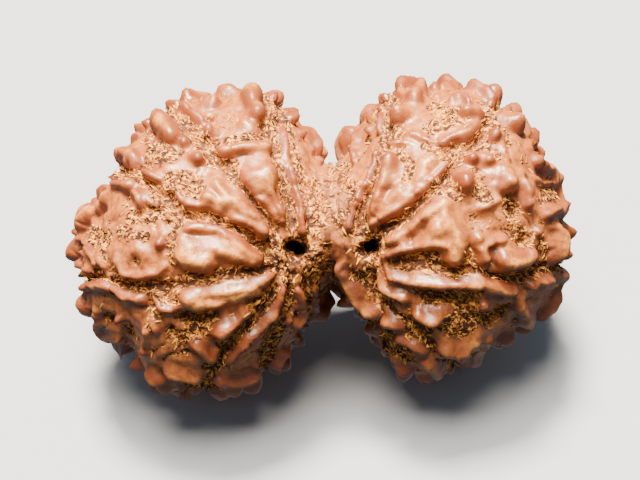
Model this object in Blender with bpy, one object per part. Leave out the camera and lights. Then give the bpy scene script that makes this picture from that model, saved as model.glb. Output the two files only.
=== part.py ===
# Gauri shankar rudraksha: two ribbed stones grown together along one side.
# Lengths are in millimetres up to the last step, which scales the mesh to metres.
# Growth frame: u runs along the pair from the seam, v across it, w out through the pole
# holes. Places on the front are given as they are seen from in front of the holes.

import math

import bmesh
import bpy
import numpy as np
from mathutils import Matrix, Vector

MM = 0.001
NODE = "gauri_shankar_rudraksha"

# The pair's outline without its knobs, over the top from the left tip and back underneath
OUTLINE = [
    (-16.3, 0.3), (-16.0, 1.6), (-14.7, 2.8), (-14.1, 3.7), (-13.8, 4.9), (-12.9, 6.2),
    (-12.1, 7.1), (-11.4, 8.1), (-10.4, 8.9), (-9.0, 9.1), (-7.5, 9.1), (-6.2, 9.5),
    (-5.0, 9.7), (-3.9, 9.2), (-3.0, 8.2), (-2.2, 6.9), (-1.5, 5.7), (-0.8, 4.9),
    (0.0, 4.7), (0.8, 5.1), (1.7, 6.2), (2.5, 7.4), (3.3, 8.9), (4.1, 9.7),
    (5.2, 9.9), (6.8, 9.7), (8.5, 9.9), (9.9, 9.7), (11.0, 9.0), (12.0, 8.0),
    (12.5, 7.1), (12.8, 6.3), (13.4, 5.2), (14.2, 4.1), (14.7, 2.8), (14.9, 1.5),
    (15.0, 0.0), (15.0, -1.5), (14.6, -2.9), (14.0, -3.8), (13.2, -4.6), (12.2, -5.2),
    (11.2, -5.8), (10.2, -6.6), (9.4, -7.4), (8.3, -7.9), (7.0, -8.3), (5.7, -8.3),
    (4.6, -8.0), (3.8, -7.1), (3.1, -5.8), (2.2, -4.5), (1.0, -3.0), (0.1, -2.3),
    (-0.7, -3.0), (-1.5, -4.4), (-2.2, -5.6), (-3.0, -6.7), (-3.8, -7.6), (-4.7, -8.3),
    (-5.8, -9.0), (-7.5, -9.5), (-9.0, -9.7), (-10.4, -9.5), (-11.4, -9.0), (-12.0, -8.2),
    (-12.6, -7.2), (-13.3, -6.5), (-14.3, -6.1), (-15.1, -5.3), (-15.5, -4.4), (-15.9, -3.2),
    (-16.1, -1.4),
]
OUTLINE_STEPS = 40      # points of the smooth curve between two listed ones

# Depth of the bare skin: each stone's middle, and how far it reaches towards the seam
LEFT_STONE = {"middle": -8.0, "reach": 9.5, "depth": 8.95}
RIGHT_STONE = {"middle": 7.2, "reach": 8.9, "depth": 8.85}
ROUNDNESS = 2.0         # superellipse power of that depth
NECK_DEPTH = 5.9
NECK_REACH = 6.0
BLEND = 6.0             # power that rounds the stones into the neck

# Knobs and ridges
RISE = 0.72             # height of the thinnest ridge
RISE_PER_WIDTH = 0.75   # and what each millimetre of half-width adds
CROWN = 1.5             # power that flattens a knob's top
SIDE = 0.88             # power that steepens its sides
MERGE = 5.0             # power that rounds neighbours into each other
SKIRT = 0.52            # height of a knob's skirt, as a share of the knob's
SKIRT_WIDER = 2.1       # and its half-width, as a share of the knob's
SKIRT_LIFT = 0.6        # how far the skirt sits above its knob, in half-widths
GROUND = 0.40           # height of a segment between its knobs
GROUND_REACH = 0.9      # how far from a furrow it rises
SEEN_WIDER = 1.06       # from a knob's crest, whose half-width is listed, to its foot
LIFT = 0.7              # height at which a place on the front is sighted
EYE_DISTANCE = 150.0
EYE = (-0.8, 0.13)      # where the sight line meets the skin square on

# Unevenness: (amount, cell of the noise, its seed, its layers)
CRESTS = (0.34, 1.3, 41, 2)     # share by which crooked crests stand up on the knobs
CRESTS_MIDDLE = 0.4
RAGGED = (0.38, 0.9, 71, 2)     # share by which a knob's outline wanders
LUMPS = (0.16, 1.5, 51, 3)      # height of the lumps between the knobs
LUMPS_BELOW = 0.8
CREASES = (0.16, 2.0, 81, 2)    # depth of the creases between them
CREASE_WIDTH = 0.11
CREASES_BELOW = 1.0
BROAD_WARP = (0.22, 1.5, 11)    # amount, cell and seed of the shift that bends every line
FINE_WARP = (0.088, 0.6, 15)

# Each ridge or knob: (height share, crest's half-width, points along it). A pair of
# half-widths belongs to the first and the last point
LEFT_CREST = [
    (1.15, 0.47, [(-9.7, 9.9)]),
    (0.9, 0.35, [(-11.1, 9.3), (-10.3, 9.4)]),
    (1.0, 0.40, [(-10.0, 9.1), (-8.8, 8.3)]),
    (1.0, 0.35, [(-11.9, 9.1)]),
    (1.0, 0.47, [(-12.7, 8.3)]),
    (1.0, 0.73, [(-11.7, 8.3), (-10.9, 7.1)]),
    (0.9, 0.53, [(-9.9, 6.7)]),
    (0.8, 0.35, [(-12.4, 6.9)]),
    (1.0, 0.65, [(-14.0, 6.0), (-13.2, 5.6)]),
    (0.9, 0.40, [(-12.7, 4.6), (-11.6, 4.3)]),
    (0.9, 0.35, [(-15.2, 4.9), (-14.9, 4.3)]),
    (1.1, 0.60, [(-9.1, 5.5)]),
    (1.0, 0.60, [(-8.3, 7.5)]),
    (1.0, 0.80, [(-8.0, 9.3)]),
    (0.6, 0.47, [(-6.7, 9.6)]),
    (1.1, 0.65, [(-5.5, 10.0), (-4.8, 8.5)]),
    (0.5, 1.10, [(-5.6, 8.1)]),
    (0.9, 0.48, [(-7.4, 5.9), (-4.3, 6.5)]),
    (0.9, 0.35, [(-4.4, 10.1)]),
    (0.9, 0.40, [(-3.7, 9.9)]),
    (0.9, 0.50, [(-3.6, 8.9)]),
    (0.9, 0.65, [(-2.3, 8.5)]),
    (0.9, 0.47, [(-1.9, 7.3)]),
    (0.9, 0.45, [(-1.3, 6.3)]),
]
LEFT_FLANK = [
    (1.0, 0.47, [(-14.5, 3.9), (-13.5, 3.7)]),
    (1.0, 0.53, [(-13.2, 3.1), (-12.9, 2.7)]),
    (0.8, 0.30, [(-12.5, 2.9), (-11.7, 2.6)]),
    (0.8, 0.35, [(-11.5, 3.9), (-9.5, 2.7)]),
    (1.0, 0.67, [(-15.1, 2.8), (-16.7, 1.5)]),
    (1.2, 0.35, [(-17.3, 0.7)]),
    (0.9, 0.30, [(-17.3, 0.7), (-16.8, 0.1), (-16.3, -0.5), (-16.0, -1.7)]),
    (0.7, 0.60, [(-15.7, -1.3)]),
    (1.0, 0.47, [(-16.5, -1.9)]),
    (0.8, 0.40, [(-14.5, -1.1), (-14.0, -2.0), (-13.0, -2.4), (-11.9, -2.1), (-11.3, -1.6)]),
    (0.55, 1.20, [(-13.0, -0.9)]),
    (1.0, 0.47, [(-11.5, -0.2)]),
    (0.8, 0.35, [(-11.1, 1.5)]),
    (0.9, 0.53, [(-16.9, -3.1), (-16.1, -2.9), (-14.8, -3.2), (-13.8, -3.6), (-13.0, -3.9)]),
    (1.0, 0.47, [(-16.3, -4.4)]),
    (1.0, 0.60, [(-14.1, -5.2)]),
    (0.9, 0.50, [(-15.8, -4.7), (-15.6, -5.5), (-15.5, -6.1), (-15.0, -6.5), (-14.2, -6.6)]),
    (0.8, 0.38, [(-12.2, -5.1), (-11.8, -6.2)]),
    (0.8, 0.42, [(-12.5, -6.0), (-12.7, -6.9)]),
    (1.0, 0.47, [(-12.6, -7.4)]),
    (1.0, 0.75, [(-11.8, -9.1)]),
    (1.0, 0.53, [(-11.3, -9.7)]),
    (0.9, 0.70, [(-10.8, -8.8), (-9.1, -9.2)]),
    (0.9, 0.35, [(-10.1, -9.9)]),
    (0.9, 0.40, [(-10.0, -10.5), (-8.6, -10.1)]),
    (0.9, 0.62, [(-9.0, -6.9), (-8.0, -7.9)]),
    (0.5, 0.40, [(-9.8, -5.3)]),
    (1.0, 0.70, [(-7.6, -9.3), (-6.5, -9.4), (-5.3, -9.0)]),
    (0.9, 0.40, [(-4.9, -8.2)]),
    (0.9, 0.47, [(-2.9, -7.5)]),
    (1.25, 0.52, [(-2.9, -8.6)]),
    (1.1, 0.50, [(-3.5, -8.1)]),
    (0.8, 0.30, [(-1.9, -6.9)]),
]
LEFT_RAYS = [
    (0.8, (0.40, 0.30), [(-3.1, 8.0), (-3.1, 6.8), (-2.8, 5.1)]),
    (0.9, (0.42, 0.34), [(-2.8, 5.1), (-2.2, 3.5), (-1.9, 1.8), (-1.7, 0.8)]),
    (0.88, (0.85, 0.35), [(-4.2, 4.6), (-3.9, 3.5), (-3.2, 1.6)]),
    (0.85, (0.45, 0.35), [(-5.9, 4.1), (-4.7, 2.9), (-3.6, 1.7)]),
    (0.70, (1.00, 0.60), [(-4.9, 4.3), (-3.8, 2.8)]),
    (0.85, (0.60, 0.40), [(-7.7, 4.0), (-6.9, 2.9), (-5.8, 2.3), (-4.3, 0.9)]),
    (0.88, (0.36, 0.46), [(-9.5, 2.8), (-7.8, 2.3), (-6.1, 1.5), (-4.3, 0.6)]),
    (0.72, (0.90, 0.55), [(-8.2, 3.1), (-5.6, 1.9)]),
    (0.85, (0.42, 0.36), [(-9.5, 0.9), (-7.8, 0.8), (-6.5, -0.1), (-4.7, -1.2)]),
    (0.95, (0.85, 0.75), [(-9.7, -1.3), (-8.3, -1.5)]),
    (0.80, (0.65, 0.40), [(-7.8, -0.5), (-6.1, -0.9), (-4.7, -1.3)]),
    (0.62, 1.20, [(-9.2, -0.4)]),
    (0.62, (1.00, 0.50), [(-8.0, 0.0), (-5.8, -0.7)]),
    (0.95, (0.55, 0.42), [(-9.7, -3.8), (-8.8, -3.5), (-7.1, -3.4), (-5.5, -3.1), (-3.8, -2.2)]),
    (0.80, (0.90, 0.60), [(-9.0, -4.2), (-5.2, -3.4)]),
    (0.90, (0.35, 0.55), [(-11.9, -4.1), (-11.5, -4.6), (-10.8, -4.8), (-10.1, -4.4), (-9.7, -3.9)]),
    (0.90, (0.35, 0.55), [(-4.5, -3.7), (-5.8, -4.7)]),
    (0.95, (0.60, 0.90), [(-5.8, -4.7), (-6.7, -5.5), (-7.3, -6.0)]),
    (0.90, (0.45, 0.62), [(-3.3, -3.2), (-3.5, -4.2), (-4.0, -5.1), (-5.5, -6.5), (-6.8, -7.9)]),
    (0.85, (0.45, 0.58), [(-2.1, -3.3), (-1.9, -4.2), (-1.9, -5.2), (-2.3, -5.7)]),
    (0.80, 0.36, [(-2.8, -5.5)]),
    (0.70, (0.34, 0.42), [(-0.9, -3.2), (-0.9, -4.5), (-1.3, -5.7)]),
]
RIGHT_CREST = [
    (1.0, 0.45, [(3.0, 9.8)]),
    (0.8, 0.33, [(3.0, 8.7), (2.9, 7.5)]),
    (0.9, 0.45, [(2.0, 7.8), (1.3, 6.5), (1.2, 5.5)]),
    (0.45, 0.33, [(1.1, 6.6), (1.0, 5.6)]),
    (0.3, 0.50, [(0.4, 5.2)]),
    (0.8, 0.60, [(4.6, 10.2)]),
    (1.0, 0.73, [(4.5, 8.7)]),
    (1.0, 0.60, [(5.9, 10.5), (5.5, 9.6)]),
    (0.7, 0.50, [(7.0, 10.0)]),
    (0.7, 0.30, [(3.7, 6.7), (5.2, 6.8)]),
    (0.8, 0.35, [(5.3, 7.3), (6.5, 7.0), (7.5, 6.7)]),
    (0.9, 0.35, [(7.2, 10.4), (8.2, 10.7)]),
    (0.9, 0.28, [(7.9, 9.7), (8.2, 10.0), (8.7, 9.9), (9.1, 9.4)]),
    (1.0, 0.50, [(9.3, 10.5), (10.9, 9.7)]),
    (0.9, 0.45, [(10.9, 9.2)]),
    (1.0, 0.53, [(9.0, 8.7), (9.8, 8.7)]),
    (0.9, 0.40, [(7.4, 6.7), (8.4, 7.0), (9.2, 7.5), (9.7, 7.8)]),
    (1.1, 0.87, [(12.3, 7.9)]),
    (0.8, 0.28, [(11.7, 6.8), (11.7, 6.0), (12.0, 5.6)]),
    (0.9, 0.53, [(11.1, 7.2)]),
    (0.9, 0.35, [(13.5, 8.1), (13.3, 6.1)]),
    (0.9, 0.35, [(12.2, 9.3)]),
    (1.0, 0.60, [(13.7, 5.3), (15.2, 4.3)]),
    (0.9, 0.35, [(15.7, 3.8), (15.9, 3.1)]),
]
RIGHT_FLANK = [
    (1.0, 0.53, [(9.5, 5.6)]),
    (1.0, 0.53, [(10.5, 5.5)]),
    (1.1, 0.67, [(8.9, 4.2), (8.8, 3.7)]),
    (1.1, 0.93, [(11.7, 4.0)]),
    (1.0, 0.53, [(12.9, 3.9), (13.1, 2.5)]),
    (0.8, 0.28, [(13.1, 4.5), (14.2, 3.9), (15.2, 4.0)]),
    (1.0, 0.53, [(14.4, 2.0), (15.7, 2.5)]),
    (0.8, 0.33, [(9.9, 2.3), (10.7, 2.5), (11.4, 2.7)]),
    (1.0, 0.53, [(9.9, 0.3), (10.2, -1.3)]),
    (0.8, 0.35, [(10.4, -0.2), (11.7, 0.1)]),
    (1.0, 0.80, [(11.7, -1.2), (13.2, -0.9)]),
    (1.0, 0.47, [(13.9, 0.5)]),
    (1.0, 0.90, [(15.2, 0.2), (15.2, -0.8)]),
    (1.0, 0.60, [(13.5, -2.9)]),
    (0.9, 0.50, [(14.2, -2.7), (15.6, -2.3)]),
    (1.0, 0.58, [(10.5, -2.9), (12.2, -3.2)]),
    (0.9, 0.45, [(11.5, -3.7)]),
    (0.9, 0.45, [(10.2, -4.4)]),
    (1.0, 0.75, [(12.7, -4.2), (13.0, -5.3)]),
    (1.0, 0.65, [(15.1, -3.8), (14.0, -5.1)]),
    (0.8, 0.28, [(12.2, -3.5), (12.3, -4.5)]),
    (0.7, 0.45, [(11.5, -5.7)]),
    (0.7, 0.50, [(10.5, -6.7)]),
    (0.9, 0.45, [(4.5, -6.7), (6.2, -7.4)]),
    (1.0, 0.65, [(4.7, -8.6)]),
    (1.0, 0.60, [(6.5, -8.0), (7.0, -8.9)]),
    (0.9, 0.40, [(8.1, -9.1)]),
    (0.9, 0.47, [(3.9, -7.9)]),
    (1.1, 0.68, [(7.2, -7.2), (7.9, -7.6), (8.7, -7.1)]),
    (0.9, 0.45, [(8.5, -8.1), (9.7, -8.3)]),
    (1.1, 0.60, [(9.5, -6.7)]),
    (0.8, 0.30, [(10.3, -7.5)]),
]
RIGHT_RAYS = [
    (0.8, (0.40, 0.32), [(2.8, 6.1), (2.5, 5.1), (2.1, 4.1), (1.7, 3.1), (1.2, 2.1), (1.0, 0.9)]),
    (0.92, (0.70, 0.60), [(3.7, 5.3), (3.5, 4.1), (3.0, 2.8), (2.6, 1.8)]),
    (0.88, (0.38, 0.55), [(7.7, 5.3), (6.5, 4.1), (5.5, 3.3), (4.5, 2.5), (3.5, 1.7), (2.6, 1.2)]),
    (0.62, (0.90, 0.60), [(6.5, 5.6), (5.6, 4.2)]),
    (0.66, (0.80, 0.60), [(4.4, 3.4), (3.2, 2.0)]),
    (0.85, (0.60, 0.40), [(7.3, 2.4), (6.5, 1.9), (5.5, 1.1), (4.5, 0.5), (3.7, -0.1)]),
    (0.85, (0.55, 0.42), [(7.7, -0.1), (6.5, 0.0), (5.5, -0.3), (4.5, -0.7), (3.5, -1.1)]),
    (0.90, (0.60, 0.75), [(7.5, 1.8), (8.5, 0.5), (8.0, -0.9)]),
    (0.62, 1.30, [(7.2, 0.9)]),
    (0.60, (0.90, 0.50), [(6.8, 0.9), (5.0, 0.1)]),
    (0.80, 0.34, [(3.2, -0.9), (3.4, -1.7), (3.9, -2.3)]),
    (0.92, (0.45, 0.55), [(3.9, -2.4), (5.2, -2.8), (6.5, -3.0), (7.9, -2.9), (9.8, -2.9)]),
    (1.00, (0.52, 0.75), [(0.5, -1.7), (0.9, -2.7), (1.5, -3.6), (2.3, -4.5), (3.2, -5.1), (4.2, -5.5)]),
    (0.90, (0.36, 0.50), [(2.9, -2.2), (3.3, -3.2), (4.2, -3.7), (4.9, -4.1)]),
    (0.95, (0.60, 0.80), [(5.9, -4.9), (6.7, -5.3)]),
]
SEEN_RIDGES = LEFT_CREST + LEFT_FLANK + LEFT_RAYS + RIGHT_CREST + RIGHT_FLANK + RIGHT_RAYS

# The lines that divide each stone into segments, from the hole outwards
LEFT_FURROWS = [
    [(-2.2, 1.2), (-2.4, 2.2), (-2.8, 3.4), (-3.3, 4.8), (-4.0, 7.1), (-4.3, 8.3), (-4.4, 9.5)],
    [(-1.1, 0.6), (-1.1, 1.8), (-1.3, 3.2), (-1.7, 4.8), (-2.3, 6.3), (-2.9, 7.9)],
    [(-3.8, 1.0), (-4.7, 2.2), (-5.4, 3.1), (-6.3, 4.1), (-7.0, 5.0), (-9.0, 7.1), (-10.9, 8.5)],
    [(-4.0, -0.5), (-5.0, 0.1), (-6.5, 0.9), (-8.1, 1.6), (-10.2, 2.2), (-11.9, 3.1), (-14.3, 4.8)],
    [(-3.8, -1.9), (-5.8, -2.1), (-8.1, -2.7), (-10.2, -3.0), (-12.7, -3.2), (-15.7, -2.5)],
    [(-3.5, -3.2), (-4.3, -4.7), (-5.8, -6.2), (-7.1, -7.5), (-8.1, -9.6)],
    [(-2.7, -3.2), (-3.1, -4.7), (-3.3, -6.2), (-4.1, -7.5)],
    [(-1.4, -3.2), (-1.4, -4.4), (-1.7, -6.2)],
]
RIGHT_FURROWS = [
    [(1.6, 0.9), (1.6, 2.1), (2.2, 3.2), (2.7, 4.2), (3.2, 6.0), (3.4, 7.4), (3.6, 9.2)],
    [(3.0, 0.8), (4.0, 1.2), (5.0, 1.9), (6.0, 2.8), (7.3, 4.2), (8.3, 5.7), (10.3, 7.7), (11.3, 9.1)],
    [(3.7, -1.3), (5.5, -1.7), (7.5, -1.9), (9.4, -2.1), (12.3, -2.5), (13.5, -2.2), (15.2, -1.7)],
    [(2.6, -2.1), (2.9, -3.2), (3.5, -4.2), (5.5, -5.9), (6.5, -6.9), (8.0, -7.8)],
    [(1.3, -2.5), (2.3, -3.2), (2.8, -3.7)],
]
FURROW_WIDTH = 0.24
FURROW_DEPTH = 0.16
FURROW_PART = 0.7       # share of a ridge's height that a furrow takes away
FURROW_START = 0.9      # how far from a hole a furrow begins on the back

# Pits: (depth, half-width, points)
PITS = [
    (0.5, 0.35, [(-8.1, 8.5)]),
    (0.5, 0.45, [(-13.1, -1.3)]),
    (0.4, 0.60, [(-8.9, 0.4), (-8.0, 0.3)]),
    (0.6, 0.50, [(-16.0, 0.4)]),
    (0.7, 0.45, [(-14.9, -5.5)]),
    (0.6, 0.35, [(-13.8, -6.2)]),
    (0.4, 0.25, [(5.8, 10.0)]),
    (0.6, 0.35, [(8.4, 9.1)]),
    (0.5, 0.30, [(9.7, 9.8)]),
    (0.6, 0.40, [(12.2, 6.7)]),
    (0.6, 0.40, [(12.2, 2.1)]),
    (0.4, 0.45, [(6.3, 1.0), (5.1, 0.4)]),
    (0.4, 0.25, [(6.1, -1.1)]),
    (0.5, 0.40, [(12.9, 0.1)]),
    (0.6, 0.35, [(14.4, -1.8)]),
    (0.6, 0.50, [(11.5, -4.9)]),
    (0.5, 0.28, [(2.2, -2.5), (2.7, -3.9)]),
    (0.8, 0.30, [(0.0, -0.5)]),
    (0.7, 0.30, [(-0.1, -2.1)]),
    (0.7, 0.55, [(6.2, -3.8), (9.2, -4.1)]),
    (0.6, 0.50, [(9.4, -5.3), (10.7, -5.4)]),
    (0.4, 0.55, [(7.0, 9.0), (7.6, 8.4)]),
    (0.7, 0.50, [(-10.0, -5.3), (-8.0, -5.0)]),
    (0.5, 0.40, [(-11.0, -6.3), (-10.2, -7.0)]),
    (0.4, 0.40, [(-4.9, -3.9), (-6.4, -5.0)]),
]

# Away from the front, knobs are thrown at random and kept where there is room, and there
# are ridges between the furrows round each back hole
SEED = 7
THROWS = 6000
LARGE = {"widths": (0.55, 1.05), "lengths": (0.0, 1.8), "sizes": (0.8, 1.25), "room": 0.86, "below": 0.10}
SMALL = {"widths": (0.25, 0.45), "lengths": (0.0, 1.0), "sizes": (0.8, 1.1), "room": 1.1, "below": 0.25}
NECK_ROOM = 1.3         # no knobs are thrown this near the seam
HOLE_ROOM = 1.4         # or this near a hole
FURROW_ROOM = 0.3       # or where a furrow is deeper than this
SPOT_STEP = 0.4         # spacing of the points that keep knobs apart
RIDGE_START = 1.5
RIDGE_END = 5.0
RIDGE_SPOTS = 4
RIDGE_SHARE = 0.85
RIDGE_WIDTHS = (0.34, 0.7)
RIDGE_FILL = 0.9        # half-width of a back ridge for each radian between its furrows
WIDEST_SEGMENT = math.pi * 0.9

HOLES = [(-2.3, -0.5), (2.4, -0.3)]
HOLE_RADIUS = 0.43
HOLE_SIDES = 12
CUTTER_LENGTH = 30.0
MOUTH = 0.7             # half-width of the hollow round each hole
MOUTH_DEPTH = 0.35

# Rest: the holes look up at TILT, and ROLL levels the two stones
TILT = math.radians(40)
ROLL = math.radians(3.2)
FEET = [(-8.4, -1.5), (-8.0, 1.7), (8.2, -1.4), (7.8, 1.8)]
FOOT_WIDTH = 0.85
FOOT_CUT = 0.22         # how much of the feet the resting surface takes off
FOOT_GRID = 420
FOOT_FACING = -0.5      # feet stand where the skin's normal points down at least this much

FLOOR_CUTTER = (50.0, 50.0, 10.0)

SEGMENTS = 240
RINGS = 210
KEPT_SHARE = 0.112      # of the fine mesh's triangles
SIGHT_GRID = 560
LENGTH_STEPS = 4001     # places at which the skin's length is measured
SLOPE_STEP = 1e-3       # step for the skin's slopes

NUT_COLOUR = (0.42, 0.19, 0.10, 1.0)
NUT_ROUGHNESS = 0.42


def smooth_outline(points):
    # A closed Catmull-Rom curve through the points, split at its two tips
    p1 = np.array(points)
    p0, p2, p3 = np.roll(p1, 1, axis=0), np.roll(p1, -1, axis=0), np.roll(p1, -2, axis=0)
    t = np.linspace(0.0, 1.0, OUTLINE_STEPS, endpoint=False)[:, None, None]
    bend = (2 * p0 - 5 * p1 + 4 * p2 - p3) * t**2 + (3 * p1 - p0 - 3 * p2 + p3) * t**3
    curve = (2 * p1 + (p2 - p0) * t + bend) / 2
    curve = curve.transpose(1, 0, 2).reshape(-1, 2)
    curve = np.roll(curve, -int(curve[:, 0].argmin()), axis=0)
    turning = int(curve[:, 0].argmax())
    return curve[: turning + 1], np.concatenate([curve[turning:], curve[:1]])[::-1]


TOP_LINE, BOTTOM_LINE = smooth_outline(OUTLINE)


def superellipse(x, power):
    return np.maximum(1.0 - np.abs(x) ** power, 0.0) ** (1.0 / power)


def stone_depth(u, stone):
    # depth * (1 - x^r)^(1/r), where x is 0 at the stone's middle and 1 at its tip, and
    # towards the seam 1 at its reach
    side = np.sign(stone["middle"])
    tip = TOP_LINE[0, 0] if side < 0 else TOP_LINE[-1, 0]
    away = (u - stone["middle"]) * side
    outer = np.clip(away / ((tip - stone["middle"]) * side), 0.0, 1.0)
    inner = np.clip(-away / stone["reach"], 0.0, 1.0)
    return stone["depth"] * superellipse(np.maximum(outer, inner), ROUNDNESS)


def half_sizes(u):
    # Top and bottom of the skin at u from the outline, and its depth: a blend of both
    # stones and the neck
    neck = NECK_DEPTH * np.maximum(1.0 - (u / NECK_REACH) ** 2, 0.0)
    shares = (stone_depth(u, LEFT_STONE), stone_depth(u, RIGHT_STONE), neck)
    depth = sum(share**BLEND for share in shares) ** (1.0 / BLEND)
    return np.interp(u, *TOP_LINE.T), -np.interp(u, *BOTTOM_LINE.T), depth


def along_pair():
    # u at even steps of length along the skin, from the left tip to the right one
    left, right = TOP_LINE[0, 0], TOP_LINE[-1, 0]
    turn = np.linspace(0.0, math.pi, LENGTH_STEPS)
    u = (left + right) / 2 - (right - left) / 2 * np.cos(turn)
    top, bottom, depth = half_sizes(u)
    radius = np.sqrt((top + bottom) / 2 * depth)
    steps = np.hypot(np.diff(u), np.diff(radius))
    length = np.concatenate([[0.0], np.cumsum(steps)])
    return length / length[-1], u, length[-1]


SHARE, PLACE, SKIN_LENGTH = along_pair()


def skin(share, angle):
    # The bare skin: share of the way from tip to tip, and angle round the pair
    u = np.interp(share, SHARE, PLACE)
    top, bottom, depth = half_sizes(u)
    v = (top - bottom) / 2 + (top + bottom) / 2 * np.cos(angle)
    return np.stack([u, v, depth * np.sin(angle)], axis=-1)


def skin_normals(share, angle):
    inside = np.clip(share, 2 * SLOPE_STEP, 1 - 2 * SLOPE_STEP)
    along = skin(inside + SLOPE_STEP, angle) - skin(inside - SLOPE_STEP, angle)
    around = skin(inside, angle + SLOPE_STEP) - skin(inside, angle - SLOPE_STEP)
    normals = np.cross(around, along)
    return normals / np.maximum(np.linalg.norm(normals, axis=-1, keepdims=True), 1e-9)


def as_seen(points):
    # Where the eye sees each point, on the plane of the seam
    nearer = EYE_DISTANCE / (EYE_DISTANCE - points[..., 2:])
    return np.array(EYE) + (points[..., :2] - np.array(EYE)) * nearer


class Front:
    # Finds the skin under a place that is seen from the front
    def __init__(self):
        share, angle = np.meshgrid(
            np.linspace(0.002, 0.998, SIGHT_GRID),
            np.linspace(0.0, 2 * math.pi, SIGHT_GRID, endpoint=False),
        )
        points, normals = skin(share, angle), skin_normals(share, angle)
        facing = normals[..., 2] > 0
        self.points = points[facing]
        self.seen = as_seen(self.points + LIFT * normals[facing])

    def along(self, path):
        nearest = [np.argmin(((self.seen - np.array(place)) ** 2).sum(axis=1)) for place in path]
        return self.points[nearest]


def along_path(points, path):
    # Distance from each point to a chain of straight stretches, and how far along it that is
    if len(path) == 1:
        return np.linalg.norm(points - path[0], axis=1), np.zeros(len(points))
    nearest = np.full(len(points), np.inf)
    along = np.zeros(len(points))
    for stretch, (start, end) in enumerate(zip(path[:-1], path[1:])):
        run = end - start
        share = np.clip((points - start) @ run / max(run @ run, 1e-9), 0.0, 1.0)
        gap = np.linalg.norm(points - start - share[:, None] * run, axis=1)
        along = np.where(gap < nearest, (stretch + share) / (len(path) - 1), along)
        nearest = np.minimum(nearest, gap)
    return nearest, along


def width_along(width, along):
    first, last = width if isinstance(width, tuple) else (width, width)
    return first + (last - first) * along


def near_path(points, path, reach):
    # Which points lie in the path's box, widened by reach
    low, high = path.min(axis=0) - reach, path.max(axis=0) + reach
    return np.flatnonzero(((points > low) & (points < high)).all(axis=1))


def full_height(width, share):
    return share * (RISE + RISE_PER_WIDTH * width)


def knob_height(gap, width, share):
    # full height * (1 - (gap / width)^CROWN)^SIDE
    within = np.maximum(1.0 - (gap / width) ** CROWN, 0.0)
    return full_height(width, share) * within**SIDE


def skirt_height(gap, width, share):
    # SKIRT * full height * (1 - (gap / skirt's half-width)^2)^2
    within = np.maximum(1.0 - (gap / (width * SKIRT_WIDER)) ** 2, 0.0)
    return SKIRT * full_height(width, share) * within**2


def turn_round(place, hole):
    return math.atan2(place[1] - hole[1], place[0] - hole[0])


def furrow_depth(points, furrows, width):
    # 1 in the middle of a furrow, falling off to 0 beside it. Past a furrow's last point
    # it goes on round the back at the same angle about the hole
    depth = np.zeros(len(points))
    for hole, path in furrows:
        near = near_path(points, path, 3 * width)
        gap, _ = along_path(points[near], path)
        depth[near] = np.maximum(depth[near], np.exp(-((gap / width) ** 2)))
        angle = turn_round(path[-1], hole)
        offset = points[:, :2] - np.array(hole)
        off_line = offset @ np.array([-math.sin(angle), math.cos(angle)])
        ahead = offset @ np.array([math.cos(angle), math.sin(angle)]) > FURROW_START
        behind = ahead & (points[:, 2] < path[-1][2])
        depth = np.maximum(depth, np.exp(-((off_line / width) ** 2)) * behind)
    return depth


def back_skin(u, v):
    top, bottom, depth = (float(size) for size in half_sizes(u))
    middle, half = (top - bottom) / 2, (top + bottom) / 2
    return (u, v, -depth * math.sqrt(max(1 - ((v - middle) / half) ** 2, 0.0)))


def back_ridges(furrows):
    # One ridge between each two furrows round each back hole
    ridges = []
    for hole in HOLES:
        angles = sorted(turn_round(path[-1], hole) for h, path in furrows if h == hole)
        for start, end in zip(angles, angles[1:] + [angles[0] + 2 * math.pi]):
            if end - start > WIDEST_SEGMENT:
                continue
            turn = (start + end) / 2
            width = float(np.clip((end - start) * RIDGE_FILL, *RIDGE_WIDTHS))
            spots = []
            for reach in np.linspace(RIDGE_START, RIDGE_END, RIDGE_SPOTS):
                u = hole[0] + reach * math.cos(turn)
                v = hole[1] + reach * math.sin(turn)
                spots.append(back_skin(u, v))
            ridges.append((RIDGE_SHARE, width, np.array(spots)))
    return ridges


def path_spots(path):
    # Points close together along a path, to keep knobs clear of it
    if len(path) == 1:
        return path
    spots = [path[:1]]
    for start, end in zip(path[:-1], path[1:]):
        count = max(int(np.linalg.norm(end - start) / SPOT_STEP), 1)
        spots.append(start + np.linspace(0, 1, count + 1)[1:, None] * (end - start))
    return np.concatenate(spots)


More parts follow.
